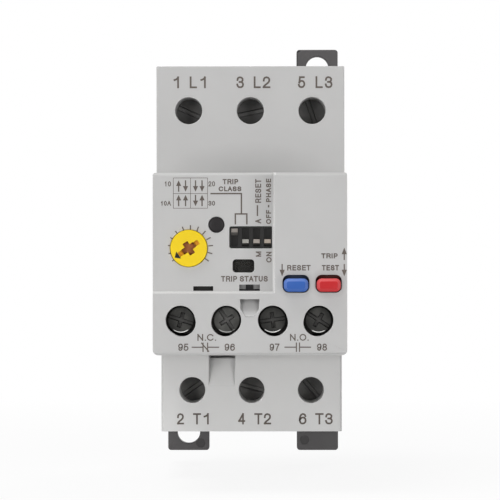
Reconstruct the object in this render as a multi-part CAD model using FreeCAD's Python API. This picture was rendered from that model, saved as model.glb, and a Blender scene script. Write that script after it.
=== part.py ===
import FreeCAD, Part
import math
import os

from FreeCAD import Vector

os.makedirs("parts", exist_ok=True)

# X runs to the right, Y runs back to the panel and Z runs up.
# The origin lies on the back plane, midway between the two screw holes.
RIGHT = Vector(1, 0, 0)
BACK = Vector(0, 1, 0)
UP = Vector(0, 0, 1)

# Overall sizes
width = 45.0
depth = 88.5
block_inset = 0.2
block_edge = 0.5
cover_top = 18.0
cover_bottom = -24.3
line_top = 43.7
load_bottom = -44.8
line_front = 72.5
load_front = 48.0
case_front = 55.0
base_thick = 8.0
wall = 1.8
fit_gap = 0.1
slide_gap = 0.05
past = 1.0

# Mounting tabs and rail clip
tab_width = 10.9
tab_reach = 53.0
tab_thick = 3.0
tab_corner = 0.8
back_pocket = 2.0
back_rib = 2.4
hole_height = 48.2
hole_radius = 3.0
rail_height = 35.4
rail_recess = 5.0
rail_slot = 1.6
hook_reach = 1.5
latch_width = 7.6
latch_neck = 5.2
latch_thick = 3.0
latch_flange = 1.4
latch_nose = 1.8
latch_travel = 3.0
latch_lug = 1.5
latch_tab_gap = 0.3
latch_spring_radius = 1.6
latch_spring_top = -26.0
latch_spring_length = 14.0
latch_turns = 2
spring_wire = 0.5

# Three main poles
pole_pitch = 14.65
line_screw_height = 33.15
load_screw_height = -34.55
line_driver_radius = 3.2
load_driver_radius = 3.18
line_tab_depth = 52.0
load_tab_depth = 26.0
busbar_width = 6.0
busbar_thick = 2.0
busbar_bend = 2.5
busbar_crossing = 14.0
busbar_end = 3.5
wire_gap = 5.0
clamp_travel = 4.0
cage_width = 9.5
cage_side = 1.3
cage_rear = 1.5
cage_nut = 2.6
cage_height = 8.0
cage_rest_gap = 0.6
cage_edge = 0.9
chamber_gap = 0.3
main_head_radius = 3.6
main_head_length = 3.0
main_shank_radius = 2.0
main_slot = 1.0
wire_entry_width = 7.0
funnel_flare = 0.8
funnel_depth = 1.6

# Current transformers
core_thick = 6.0
core_base = -11.0
core_gap = 0.7
core_leg = 2.0
core_front = 31.0
core_back = 13.0
coil_wall = 2.0
coil_gap = 0.2
coil_edge = 1.2

# Cover front
front_wall = 2.2
panel_recess = 0.8
panel_right = 5.3
panel_bottom = -9.5
panel_bevel = 0.45
lip_bevel = 0.6
corner_low = 1.3
corner_high = 0.6
case_lip = 3.0
case_lip_thick = 1.2
snap_length = 6.0
snap_depth = 1.6
snap_heights = (-14.0, 8.0)
dial_x = -14.15
dial_z = 0.48
dial_radius = 4.25
dial_rise = 0.6
dial_angle = 34.0
dial_slot = 1.1
dial_slot_reach = 2.7
dial_cross = 1.35
dial_cross_reach = 1.6
dial_cross_depth = 1.6
lens_x = -7.75
lens_z = 5.93
lens_radius = 1.76
led_radius = 1.5
dip_x = 0.26
dip_z = 3.0
dip_width = 9.8
dip_height = 4.9
dip_corner = 0.5
dip_pitch = 2.54
dip_knob_width = 1.46
dip_knob_height = 1.6
dip_land = 0.9
dip_travel = 2.5
dip_slot_depth = 1.6
window_x = -1.5
window_z = -3.62
window_width = 4.8
window_height = 2.85
window_corner = 0.8
left_slot = (-13.15, -8.5, -9.4, -8.3)
right_slot = (-2.5, 2.3, -9.4, -7.9)
slot_step = 0.8
slot_cheek = 1.5
slot_floor = 0.4
notch_x = -0.05
notch_top = -11.3
notch_middle = -13.6
notch_bottom = -15.3
notch_width = 4.5
notch_middle_width = 4.2
notch_end_width = 2.0
notch_depth = 2.5
notch_wall = 0.65
groove_x = -7.28
groove_width = 6.45
groove_end = -33.5
groove_depth = 3.0
groove_slot = 2.45
groove_slot_depth = 10.0

# Reset and test buttons
button_z = -8.04
button_height = 3.08
button_corner = 1.2
button_travel = 2.5
test_travel = 2.0
button_rise = 1.5
button_gap = 0.2
button_gap_above = 0.8
button_flange = 0.7
button_bevel = 0.7
reset_x = 10.65
reset_width = 5.7
test_x = 18.2
test_width = 5.6
stem_z = -7.6
stem_radius = 1.3
stem_half = 1.15
stem_clearance = 0.45
button_spring_radius = 2.0
button_turns = 2

# Auxiliary terminals, from 95 to 98
aux_first_x = -16.1
aux_pitch = 10.67
aux_z = -16.2
aux_hole_radius = 3.4
aux_step_radius = 3.2
aux_step_x = 0.35
aux_step_z = 0.5
aux_chamber = 8.8
aux_rib_top = -12.2
aux_head_radius = 3.05
aux_drive_width = 0.8
aux_drive_depth = 1.2
aux_head_length = 2.4
aux_head_sink = 3.5
aux_shank_radius = 1.75
aux_clamp_thick = 1.5
aux_clamp_height = 6.6
aux_clamp_width = 8.0
aux_lip = 0.6
aux_lip_flare = 0.8
aux_lip_height = 2.6
aux_wire_gap = 4.5
aux_tip = 2.6
strip_thick = 1.0
strip_width = 6.0
strip_low = -21.0
strip_high = -10.2
contact_z = -11.5
contact_half = 1.2

# Control board and inner frame
board_offset = 4.8
board_thick = 1.6
board_bottom = -1.0
pot_size = 9.5
pot_height = 4.0
pot_margin = 1.2
chip_size = 7.0
chip_thick = 1.4
driver_width = 4.0
can_radius = 2.5
can_height = 4.2
can_pitch = 5.4
resistor_width = 1.6
resistor_pitch = 3.0
resistor_thick = 0.8
frame_offset = 11.1
frame_thick = 2.0
frame_gap = 0.4
leg_size = 2.0
standoff_half = 1.8

# Trip mechanism
pivot_offset = 9.2
pivot_z = -4.0
pin_radius = 1.0
hub_radius = 2.0
hub_half = 3.4
ear_thick = 1.2
lever_angle = 12.0
flag_gap = 0.4
flag_thick = 0.8
flag_low = -16.0
flag_high = -6.0
lever_half = 1.4
lever_thick = 1.2
plunger_arm = 7.0
carrier_arm = 7.5
plunger_radius = 2.0
plunger_neck = 1.2
neck_half = 1.4
bore_gap = 0.2
coil_radius = 6.5
coil_offset = 5.1
coil_span = 14.9
coil_flange = 1.0
plunger_entry = 9.0
yoke_thick = 1.5
yoke_height = 8.0
cradle_thick = 1.4
carrier_half = 12.3
carrier_height = 2.9
carrier_thick = 4.0
reset_tab_thick = 1.2
peg_radius = 0.6
peg_length = 2.1
spring_pocket = 2.5
contact_wire = 0.3
contact_turns = 1
bridge_thick = 0.8
bridge_gap = 0.4
bridge_height = 2.6
tip_thick = 0.6
ledge_thick = 1.2

# Planes and places worked out from the sizes above
half = width / 2
half_block = half - block_inset
inner_half = half - wall
front_y = -depth
panel_y = front_y + panel_recess
inner_y = front_y + front_wall
board_y = inner_y + board_offset
frame_y = inner_y + frame_offset
frame_back = frame_y + frame_thick
pivot_y = frame_y + pivot_offset
lever_x = window_x
hole_x = half - tab_width / 2
poles = [(number - 2) * pole_pitch for number in (1, 2, 3)]
aux_places = [aux_first_x + aux_pitch * step for step in range(4)]
aux_names = ("95", "96", "97", "98")
chamber_half = cage_width / 2 + chamber_gap
core_inside = busbar_width / 2 + core_gap
aux_head_y = front_y + aux_head_sink
aux_clamp_y = aux_head_y + aux_head_length
strip_y = frame_y - strip_thick
carrier_z = pivot_z - carrier_arm
carrier_y = pivot_y - carrier_thick / 2 - past
carrier_travel = carrier_arm * math.radians(lever_angle)


def block(x0, x1, y0, y1, z0, z1):
    return Part.makeBox(x1 - x0, y1 - y0, z1 - z0, Vector(x0, y0, z0))


def rod(x, y, z, radius, length, axis):
    return Part.makeCylinder(radius, length, Vector(x, y, z), axis)


def side_profile(points, x0, x1):
    """Extrudes an outline of (y, z) points along X."""
    corners = [Vector(x0, y, z) for y, z in points]
    return Part.Face(Part.makePolygon(corners + corners[:1])).extrude(Vector(x1 - x0, 0, 0))


def plan_profile(points, z0, z1):
    """Extrudes an outline of (x, y) points along Z."""
    corners = [Vector(x, y, z0) for x, y in points]
    return Part.Face(Part.makePolygon(corners + corners[:1])).extrude(Vector(0, 0, z1 - z0))


def rounded(x0, x1, y0, y1, z0, z1, low, high):
    """A block whose edges along Y are rounded, with one radius below and one above."""
    body = block(x0, x1, y0, y1, z0, z1)
    for radius, level in ((low, z0), (high, z1)):
        along = [e for e in body.Edges if abs(e.tangentAt(0).y) > 0.9]
        chosen = [e for e in along if abs(e.CenterOfMass.z - level) < 1e-6]
        if radius > 0:
            body = body.makeFillet(radius, chosen)
    return body


def taper(x, z, y0, y1, sizes0, sizes1):
    """A frustum along Y between two rectangles, each given as (x0, x1, z0, z1) about a point."""
    wires = []
    for y, (left, right, low, high) in ((y0, sizes0), (y1, sizes1)):
        outline = [(left, low), (right, low), (right, high), (left, high), (left, low)]
        wires.append(Part.makePolygon([Vector(x + dx, y, z + dz) for dx, dz in outline]))
    return Part.makeLoft(wires, True, True)


def turned(points, origin, axis):
    """Revolves an outline of (along, radius) points about an axis along X, Y or Z."""
    across = UP if axis != UP else RIGHT
    corners = [origin + axis * along + across * radius for along, radius in points]
    return Part.Face(Part.makePolygon(corners + corners[:1])).revolve(origin, axis, 360)


def spring(base, axis, radius, length, turns, wire_size):
    """A compression spring of square wire, standing on base and running along axis."""
    rise = length - wire_size
    helix = Part.makeHelix(rise / turns, rise, radius)
    inner, outer = radius - wire_size / 2, radius + wire_size / 2
    section = [(inner, 0), (outer, 0), (outer, wire_size), (inner, wire_size), (inner, 0)]
    wire = Part.makePolygon([Vector(r, 0, h) for r, h in section])
    coil = Part.Wire(helix.Edges).makePipeShell([wire], True, True)
    coil.Placement = FreeCAD.Placement(base, FreeCAD.Rotation(UP, axis))
    return coil


def strip_path(points, radius):
    """A path through (y, z) points at X = 0, with each corner rounded by a tangent arc."""
    corners = [Vector(0, y, z) for y, z in points]
    edges = []
    start = corners[0]
    for before, corner, after in zip(corners, corners[1:], corners[2:]):
        to_before = (before - corner).normalize()
        to_after = (after - corner).normalize()
        enter = corner + to_before * radius
        leave = corner + to_after * radius
        middle = corner + (to_before + to_after) * radius * (1 - math.sqrt(0.5))
        edges.append(Part.LineSegment(start, enter).toShape())
        edges.append(Part.Arc(enter, middle, leave).toShape())
        start = leave
    edges.append(Part.LineSegment(start, corners[-1]).toShape())
    return Part.Wire(edges)


def mounting_base():
    """Back plate with two screw tabs, a rail channel with a fixed hook, and the latch guide."""
    body = block(-half, half, -base_thick, 0, load_bottom, line_top)
    root = 2 * tab_thick
    for side in (1, -1):
        ends = sorted((side * tab_reach, side * (tab_reach - 2 * tab_thick - tab_width)))
        tab = rounded(side * hole_x - tab_width / 2, side * hole_x + tab_width / 2, -tab_thick, 0,
                      ends[0], ends[1], tab_corner, tab_corner)
        body = body.fuse(tab)
    cuts = []
    for side in (1, -1):
        cuts.append(rod(side * hole_x, -root, side * hole_height, hole_radius, 2 * root, BACK))
    hook_under = rail_height / 2
    cuts.append(block(-half - past, half + past, -rail_recess, past, -hook_under, hook_under - hook_reach))
    cuts.append(block(-half - past, half + past, -rail_recess, -rail_recess + rail_slot,
                      -hook_under, hook_under))
    guide = latch_width / 2 + fit_gap
    neck = latch_neck / 2 + fit_gap
    guide_y = -latch_thick - fit_gap
    ledge_y = guide_y + latch_flange + 2 * fit_gap
    low, high = load_bottom - past, -hook_under + past
    cuts.append(block(hole_x - guide, hole_x + guide, guide_y, ledge_y, low, high))
    cuts.append(block(hole_x - neck, hole_x + neck, guide_y, past, low, high))
    pocket = latch_spring_radius + spring_wire
    pocket_y = guide_y - 2 * latch_spring_radius - 2 * fit_gap - spring_wire
    cuts.append(block(hole_x - pocket, hole_x + pocket, pocket_y, guide_y + past,
                      latch_spring_top - latch_spring_length, latch_spring_top + latch_lug + fit_gap))
    bay = (2 * half - 4 * back_rib) / 3
    for column in range(3):
        x = -half + back_rib + column * (bay + back_rib)
        cuts.append(block(x, x + bay, -back_pocket, past, hook_under + back_rib, line_top - back_rib))
        if column < 2:
            cuts.append(block(x, x + bay, -back_pocket, past, load_bottom + back_rib, -hook_under - back_rib))
    return body.cut(cuts).removeSplitter()


def latch_spring_axis():
    return -latch_thick - fit_gap - latch_spring_radius - spring_wire / 2


def rail_latch():
    """Sliding hook for the lower edge of the rail, with its pull tab at the bottom."""
    guide = latch_width / 2
    neck = latch_neck / 2
    nose_top = -rail_height / 2 + latch_nose
    flange_y = -latch_thick + latch_flange
    foot = load_bottom - latch_travel
    body = block(hole_x - guide, hole_x + guide, -latch_thick, flange_y, foot, nose_top)
    rear = block(hole_x - neck, hole_x + neck, flange_y, 0, foot, nose_top)
    tab = rounded(hole_x - tab_width / 2, hole_x + tab_width / 2, -tab_thick, 0,
                  -tab_reach, load_bottom - latch_tab_gap, tab_corner, 0)
    lug_y = latch_spring_axis() - latch_spring_radius
    lug = block(hole_x - latch_spring_radius, hole_x + latch_spring_radius, lug_y, -latch_thick,
                latch_spring_top, latch_spring_top + latch_lug)
    slope_foot = nose_top - latch_nose
    slope = side_profile([(-latch_thick + rail_slot, nose_top), (past, nose_top), (past, slope_foot),
                          (0, slope_foot)], hole_x - guide - past, hole_x + guide + past)
    return body.fuse([rear, tab, lug]).cut(slope).removeSplitter()


def rail_latch_spring():
    base = Vector(hole_x, latch_spring_axis(), latch_spring_top - latch_spring_length)
    return spring(base, UP, latch_spring_radius, latch_spring_length, latch_turns, spring_wire)


def terminal_cuts(x, screw_z, tab_depth, front_depth, driver_radius, entry_z):
    """Driver hole, head pocket, cage chamber and wire entry of one main terminal."""
    cage_front = -tab_depth - cage_rest_gap - cage_nut - clamp_travel - 2 * fit_gap
    head_front = cage_front - main_head_length - 3 * fit_gap
    cage_back = -tab_depth + busbar_thick + wire_gap + cage_rear
    low = screw_z - cage_height / 2 - chamber_gap
    high = screw_z + cage_height / 2 + chamber_gap
    wire_y = -tab_depth + busbar_thick
    driver = rod(x, -front_depth - past, screw_z, driver_radius, front_depth + past, BACK)
    driver = driver.common(block(x - chamber_half, x + chamber_half, -front_depth - past, cage_front,
                                 low, high))
    seat = main_head_radius + fit_gap
    head = block(x - seat, x + seat, head_front, cage_front + past, screw_z - seat, screw_z + seat)
    chamber = block(x - chamber_half, x + chamber_half, cage_front, cage_back + fit_gap, low, high)
    entry = block(x - wire_entry_width / 2, x + wire_entry_width / 2, wire_y, wire_y + wire_gap,
                  min(screw_z, entry_z), max(screw_z, entry_z))
    outward = 1 if entry_z > screw_z else -1
    mouth = entry_z - outward * past
    funnel = wire_funnel(x, wire_y + wire_gap / 2, mouth - outward * funnel_depth, mouth)
    return [driver, head, chamber, entry, funnel]


def wire_funnel(x, y, z_inner, z_mouth):
    """Flared mouth of a wire entry, wider at the outer face."""
    wires = []
    for z, flare in ((z_inner, 0), (z_mouth, funnel_flare)):
        dx = wire_entry_width / 2 + flare
        dy = wire_gap / 2 + flare
        outline = [(-dx, -dy), (dx, -dy), (dx, dy), (-dx, dy), (-dx, -dy)]
        wires.append(Part.makePolygon([Vector(x + ox, y + oy, z) for ox, oy in outline]))
    return Part.makeLoft(wires, True, True)


def busbar_slot(x, tab_depth, z0, z1):
    gap = chamber_gap
    return block(x - busbar_width / 2 - gap, x + busbar_width / 2 + gap, -tab_depth - gap,
                 -tab_depth + busbar_thick + gap, z0, z1)


def line_terminal_housing():
    """Upper block: three terminal chambers open to the back and slots for the busbars below."""
    body = block(-half_block, half_block, -line_front, -base_thick, cover_top, line_top)
    cuts = []
    for x in poles:
        cuts += terminal_cuts(x, line_screw_height, line_tab_depth, line_front, line_driver_radius,
                              line_top + past)
        cuts.append(busbar_slot(x, line_tab_depth, cover_top - past, line_screw_height))
        cuts.append(block(x - chamber_half, x + chamber_half, -line_tab_depth + busbar_thick + wire_gap,
                          past - base_thick, line_screw_height - cage_height / 2 - chamber_gap,
                          line_screw_height + cage_height / 2 + chamber_gap))
    shelf = line_screw_height - cage_height / 2 - chamber_gap - wall
    cuts.append(block(-half_block + wall, half_block - wall, -line_tab_depth + busbar_thick + 2 * wall,
                      past - base_thick, cover_top + wall, shelf))
    return body.cut(cuts).removeSplitter()


def case_lip_ring():
    """Rim of the case that enters the cover, with four snap noses."""
    outer = inner_half - fit_gap
    top = cover_top - wall - fit_gap
    bottom = cover_bottom + wall + fit_gap
    front = -case_front - case_lip
    ring = block(-outer, outer, front, -case_front + wall, bottom, top)
    bore = outer - case_lip_thick
    ring = ring.cut(block(-bore, bore, front - past, past, bottom + case_lip_thick, top - case_lip_thick))
    noses = []
    for side in (1, -1):
        for z in snap_heights:
            middle = -case_front - case_lip / 2
            points = [(side * (outer - fit_gap), middle - snap_depth / 2 + fit_gap),
                      (side * (outer + case_lip_thick), middle + snap_depth / 2 - fit_gap),
                      (side * (outer - fit_gap), middle + snap_depth / 2 - fit_gap)]
            noses.append(plan_profile(points, z - snap_length / 2 + fit_gap, z + snap_length / 2 - fit_gap))
    return ring.fuse(noses)


def main_case():
    """Case with the load terminal block below and the transformer space behind the cover."""
    outline = [(-base_thick, load_bottom), (-load_front, load_bottom), (-load_front, cover_bottom),
               (-case_front, cover_bottom), (-case_front, cover_top), (-base_thick, cover_top)]
    body = side_profile(outline, -half_block, half_block)
    upright = [e for e in body.Edges if abs(e.tangentAt(0).z) > 0.9]
    body = body.makeChamfer(block_edge, [e for e in upright if abs(e.CenterOfMass.y + load_front) < 1e-6])
    space = half_block - wall - case_lip_thick
    floor_z = cover_bottom + wall + case_lip_thick
    back = -base_thick - wall
    roof_z = cover_top - wall - case_lip_thick
    body = body.cut(block(-space, space, -case_front - past, back, floor_z, roof_z))
    wide = half_block - wall
    body = body.cut(block(-wide, wide, -case_front + 2 * wall, back, floor_z, cover_top - wall))
    cuts = []
    for x in poles:
        cuts += terminal_cuts(x, load_screw_height, load_tab_depth, load_front, load_driver_radius,
                              load_bottom - past)
        low = load_screw_height - cage_height / 2 - chamber_gap
        cage_front = -load_tab_depth - cage_rest_gap - cage_nut - clamp_travel - 2 * fit_gap
        cuts.append(block(x - chamber_half, x + chamber_half, cage_front, back, low, floor_z + past))
        cuts.append(busbar_slot(x, line_tab_depth, 0, cover_top + past))
    ramp_back = -load_front + groove_depth
    ramp = side_profile([(-load_front - past, cover_bottom + past), (ramp_back, cover_bottom + past),
                         (ramp_back, cover_bottom - wall), (-load_front, groove_end),
                         (-load_front - past, groove_end)],
                        groove_x - groove_width / 2, groove_x + groove_width / 2)
    keep_cover = block(-half, half, -load_front, 0, cover_bottom, cover_top)
    slot = block(groove_x - groove_width / 2, groove_x + groove_width / 2, -load_front - past,
                 -load_front + groove_slot_depth, cover_bottom - groove_slot, cover_bottom)
    body = body.cut(cuts + [ramp.cut(keep_cover), slot])
    seats = []
    for x in (-pole_pitch / 2, pole_pitch / 2, -1.5 * pole_pitch, 1.5 * pole_pitch):
        rib = pole_pitch / 2 - chamber_half
        seat = block(x - rib, x + rib, -core_front, back, floor_z - past, core_base)
        seats.append(seat.common(block(-half_block, half_block, -case_front, 0, floor_z - past, core_base)))
    return body.fuse(seats + [case_lip_ring()]).removeSplitter()


def busbar(x):
    """Bent copper bar from the line cage through the transformer to the load cage."""
    line_y = -line_tab_depth + busbar_thick / 2
    load_y = -load_tab_depth + busbar_thick / 2
    top = line_screw_height + busbar_end
    path = strip_path([(line_y, top), (line_y, busbar_crossing), (load_y, busbar_crossing),
                       (load_y, load_screw_height - busbar_end)], busbar_bend)
    w, t = busbar_width / 2, busbar_thick / 2
    section = [(-w, -t), (w, -t), (w, t), (-w, t), (-w, -t)]
    wire = Part.makePolygon([Vector(dx, line_y + dy, top) for dx, dy in section])
    bar = path.makePipeShell([wire], True, False)
    bar.translate(Vector(x, 0, 0))
    return bar


def transformer_core(x):
    """Laminated frame core that stands round one busbar."""
    outside = core_inside + core_leg
    body = block(x - outside, x + outside, -core_front, -core_back, core_base, core_base + core_thick)
    return body.cut(block(x - core_inside, x + core_inside, -core_front + core_leg, -core_back - core_leg,
                          core_base - past, core_base + core_thick + past))


def transformer_coil(x):
    """Winding on the rear leg of one core."""
    near = -core_back - core_leg - fit_gap
    far = -core_back + fit_gap
    low = core_base - fit_gap
    high = core_base + core_thick + fit_gap
    reach = core_inside - coil_gap
    outer = block(x - reach, x + reach, near - coil_wall, far + coil_wall, low - coil_wall, high + coil_wall)
    edges = [e for e in outer.Edges if abs(e.tangentAt(0).x) > 0.9]
    outer = outer.makeChamfer(coil_edge, edges)
    return outer.cut(block(x - half, x + half, near, far, low, high))


def cage(x, screw_z, tab_depth):
    """Rising clamp: a ring round busbar and wire, with the nut in its front wall."""
    nut_back = -tab_depth - cage_rest_gap
    wire_back = -tab_depth + busbar_thick + wire_gap
    low = screw_z - cage_height / 2
    high = screw_z + cage_height / 2
    outer = block(x - cage_width / 2, x + cage_width / 2, nut_back - cage_nut, wire_back + cage_rear,
                  low, high)
    edges = [e for e in outer.Edges if abs(e.tangentAt(0).z) > 0.9]
    outer = outer.makeChamfer(cage_edge, edges)
    inside = cage_width / 2 - cage_side
    ring = outer.cut(block(x - inside, x + inside, nut_back, wire_back, low - past, high + past))
    return ring.cut(rod(x, nut_back - 2 * cage_nut, screw_z, main_shank_radius + slide_gap,
                        3 * cage_nut, BACK))


def main_screw(x, screw_z, tab_depth):
    """Captive terminal screw whose tip bears on the busbar."""
    tip = -tab_depth - slide_gap
    head_back = -tab_depth - cage_rest_gap - cage_nut - clamp_travel - 4 * fit_gap
    length = tip - head_back
    profile = [(0, 0), (0, main_head_radius), (main_head_length, main_head_radius),
               (main_head_length, main_shank_radius), (main_head_length + length, main_shank_radius),
               (main_head_length + length, 0)]
    head_front = head_back - main_head_length
    body = turned(profile, Vector(x, head_front, screw_z), BACK)
    return body.cut(block(x - half, x + half, head_front - past, head_front + main_slot,
                          screw_z - main_slot / 2, screw_z + main_slot / 2))


def front_cover():
    """Moulded cover, open at the back, with the stepped panel and every opening of the front."""
    body = rounded(-half, half, front_y, -case_front, cover_bottom, cover_top, corner_low, corner_high)
    body = body.cut(block(-inner_half, inner_half, inner_y, past - case_front, cover_bottom + wall,
                          cover_top - wall))
    panel = (-2 * half, 0, 0, 2 * half)
    flared = (-2 * half, panel_bevel, -panel_bevel, 2 * half)
    cuts = [taper(panel_right, panel_bottom, panel_y, front_y, panel, flared)]
    for x0, x1, y in ((panel_right, half + past, front_y), (-half - past, panel_right, panel_y)):
        cuts.append(side_profile([(y - past, cover_top - lip_bevel - past), (y - past, cover_top + past),
                                  (y + lip_bevel + past, cover_top + past)], x0, x1))
    cuts.append(side_profile([(front_y - past, cover_bottom + lip_bevel + past),
                              (front_y - past, cover_bottom - past),
                              (front_y + lip_bevel + past, cover_bottom - past)], -half - past, half + past))
    through = (front_y - past, inner_y + past)
    for x, z, radius in ((dial_x, dial_z, dial_radius), (lens_x, lens_z, lens_radius)):
        cuts.append(rod(x, through[0], z, radius + fit_gap, through[1] - through[0], BACK))
    for x, z, w, h, corner in ((dip_x, dip_z, dip_width, dip_height, dip_corner),
                               (window_x, window_z, window_width, window_height, window_corner)):
        cuts.append(rounded(x - w / 2 - fit_gap, x + w / 2 + fit_gap, through[0], through[1],
                            z - h / 2 - fit_gap, z + h / 2 + fit_gap, corner, corner))
    x0, x1, z0, z1 = left_slot
    cuts.append(block(x0, x1, through[0], through[1], z0, z1))
    x0, x1, z0, z1 = right_slot
    cuts.append(block(x0, x1, through[0], panel_y + slot_step, z0, z1))
    cuts.append(block(x0 + slot_cheek, x1 - slot_cheek, through[0], through[1], z0, z1))
    cuts.append(block(x0, x1, through[0], through[1], z0, z0 + slot_floor))
    for x, w in ((reset_x, reset_width), (test_x, test_width)):
        dx = w / 2 + button_gap
        low = button_z - button_height / 2 - button_gap
        high = button_z + button_height / 2 + button_gap_above
        corner = button_corner + button_gap
        cuts.append(rounded(x - dx, x + dx, through[0], through[1], low, high, corner, corner))
        cuts.append(block(x - dx, x + dx, inner_y, frame_y, low - 2 * button_flange,
                          high + 2 * button_flange))
    cuts.append(Part.makeLoft([Part.makePolygon([Vector(notch_x + dx, y, z) for dx, y in outline])
                               for z, outline in notch_sections()], True, True))
    for step, x in enumerate(aux_places):
        toward = aux_step_x if step % 2 == 0 else -aux_step_x
        cuts.append(rod(x, through[0], aux_z, aux_hole_radius, through[1] - through[0], BACK))
        cuts.append(rod(x + toward, through[0], aux_z - aux_step_z, aux_step_radius,
                        through[1] - through[0], BACK))
        clamp_back = aux_clamp_y + aux_clamp_thick
        cuts.append(block(x - aux_chamber / 2, x + aux_chamber / 2, clamp_back, clamp_back + aux_wire_gap,
                          cover_bottom - past, cover_bottom + wall + past))
    for side in (1, -1):
        for z in snap_heights:
            middle = -case_front - case_lip / 2
            x0, x1 = sorted((side * (inner_half - past), side * (half + past)))
            cuts.append(block(x0, x1, middle - snap_depth / 2, middle + snap_depth / 2, z - snap_length / 2,
                              z + snap_length / 2))
    rib_half = (aux_pitch - aux_chamber) / 2
    slope = notch_depth / (notch_top - notch_bottom)
    back = front_y + notch_depth + notch_wall
    dx = notch_width / 2 + notch_wall
    ribs = [side_profile([(inner_y - past, notch_top + notch_wall), (back, notch_top + notch_wall),
                          (back, notch_top), (inner_y - past, notch_top - (back - inner_y + past) / slope)],
                         notch_x - dx, notch_x + dx)]
    for left, right in zip(aux_places, aux_places[1:]):
        x = (left + right) / 2
        ribs.append(block(x - rib_half, x + rib_half, inner_y - past, strip_y - fit_gap,
                          cover_bottom + wall - past, aux_rib_top))
    return body.fuse(ribs).cut(cuts).removeSplitter()


def notch_sections():
    """Outlines of the scoop below the panel from its top to its foot, as (height, outline) pairs."""
    sections = []
    middle_depth = notch_depth * (notch_middle - notch_bottom) / (notch_top - notch_bottom)
    for z, w, deep in ((notch_top, notch_width, notch_depth),
                       (notch_middle, notch_middle_width, middle_depth),
                       (notch_bottom, notch_end_width, slide_gap)):
        dx = w / 2
        outline = [(-dx, front_y - past), (dx, front_y - past), (dx, front_y + deep), (-dx, front_y + deep),
                   (-dx, front_y - past)]
        sections.append((z, outline))
    return sections


def dial_knob():
    """Current dial with a slot, a deeper driver cross, a collar behind the cover and a stem."""
    front = panel_y - dial_rise
    face = inner_y + fit_gap - front
    collar = dial_radius + lip_bevel
    stem = face + 3 * fit_gap + pot_height / 2
    profile = [(0, 0), (0, dial_radius), (face, dial_radius), (face, collar), (face + 3 * fit_gap, collar),
               (face + 3 * fit_gap, stem_radius), (stem, stem_radius), (stem, 0)]
    body = turned(profile, Vector(dial_x, front, dial_z), BACK)
    slots = []
    for reach, across, deep in ((dial_slot_reach, dial_slot / 2, panel_recess),
                                (dial_cross_reach, dial_cross / 2, dial_cross_depth),
                                (dial_cross / 2, dial_cross_reach, dial_cross_depth)):
        slot = block(dial_x - reach, dial_x + reach, front - past, front + deep, dial_z - across,
                     dial_z + across)
        slot.rotate(Vector(dial_x, 0, dial_z), BACK, -dial_angle)
        slots.append(slot)
    return body.cut(slots)


def potentiometer():
    """Trimmer behind the dial, standing on the board."""
    half_pot = pot_size / 2
    body = block(dial_x - half_pot, dial_x + half_pot, board_y - pot_height, board_y, dial_z - half_pot,
                 dial_z + half_pot)
    return body.cut(rod(dial_x, board_y - pot_height - past, dial_z, stem_radius + slide_gap,
                        pot_height, BACK))


def dip_slots():
    """Left-hand to right-hand X of the four slide switches."""
    return [dip_x + dip_pitch * (step - 1.5) for step in range(4)]


def dip_switch_body():
    """Black switch block with four guide slots."""
    front = panel_y + fit_gap
    body = rounded(dip_x - dip_width / 2, dip_x + dip_width / 2, front, board_y, dip_z - dip_height / 2,
                   dip_z + dip_height / 2, dip_corner - fit_gap, dip_corner - fit_gap)
    reach = (dip_knob_height + dip_travel) / 2 + slide_gap
    across = dip_knob_width / 2 + slide_gap
    floor_y = front + dip_slot_depth
    return body.cut([block(x - across, x + across, front - past, floor_y, dip_z - reach, dip_z + reach)
                     for x in dip_slots()])


def dip_slider(number):
    """One slide switch with a land above a slope; the first rests up and the others rest down."""
    x = dip_slots()[number - 1]
    z = dip_z + (dip_travel / 2 if number == 1 else -dip_travel / 2)
    front = panel_y - 2 * fit_gap
    back = panel_y + fit_gap + dip_slot_depth - slide_gap
    low, high = z - dip_knob_height / 2, z + dip_knob_height / 2
    return side_profile([(back, low), (back, high), (front + 2 * fit_gap, high), (front, high - 2 * fit_gap),
                         (front, high - dip_land), (back - dip_slot_depth / 2, low)],
                        x - dip_knob_width / 2, x + dip_knob_width / 2)


def status_lens():
    """Light guide with a collar behind the cover."""
    front = panel_y - 2 * fit_gap
    face = inner_y + fit_gap - front
    collar = lens_radius + lip_bevel
    profile = [(0, 0), (0, lens_radius), (face, lens_radius), (face, collar), (face + lip_bevel, collar),
               (face + lip_bevel, 0)]
    return turned(profile, Vector(lens_x, front, lens_z), BACK)


def status_led():
    """Light-emitting diode on the board, just behind its lens."""
    top = inner_y + fit_gap + lip_bevel + 2 * fit_gap
    return rod(lens_x, top, lens_z, led_radius, board_y - top, BACK)


def push_button(x, across, flange_y, stem_end):
    """Button cap with a bevelled face, a collar that stops it behind the cover, and a stem."""
    dx, dz = across / 2, button_height / 2
    front = front_y - button_rise
    cap = rounded(x - dx, x + dx, front, flange_y + button_flange, button_z - dz, button_z + dz,
                  button_corner, button_corner)
    edges = [e for e in cap.Edges if abs(e.CenterOfMass.y - front) < 1e-6]
    cap = cap.makeChamfer(button_bevel, edges)
    flange = block(x - dx, x + dx, flange_y, flange_y + button_flange, button_z - dz - button_flange,
                   button_z + dz + button_gap_above + button_flange)
    stem = block(x - stem_half, x + stem_half, flange_y, stem_end, stem_z - stem_half, stem_z + stem_half)
    return cap.fuse([flange, stem]).removeSplitter()


def reset_flange():
    return inner_y + fit_gap


def test_flange():
    return inner_y + fit_gap + test_travel


def stem_end():
    """Stems stop short of the tripped carrier even when the button is fully pressed."""
    return carrier_y - carrier_travel - button_travel - stem_clearance


def button_spring(x, flange_y):
    base = flange_y + button_flange
    return spring(Vector(x, base, stem_z), BACK, button_spring_radius, frame_y - base, button_turns,
                  spring_wire)


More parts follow.
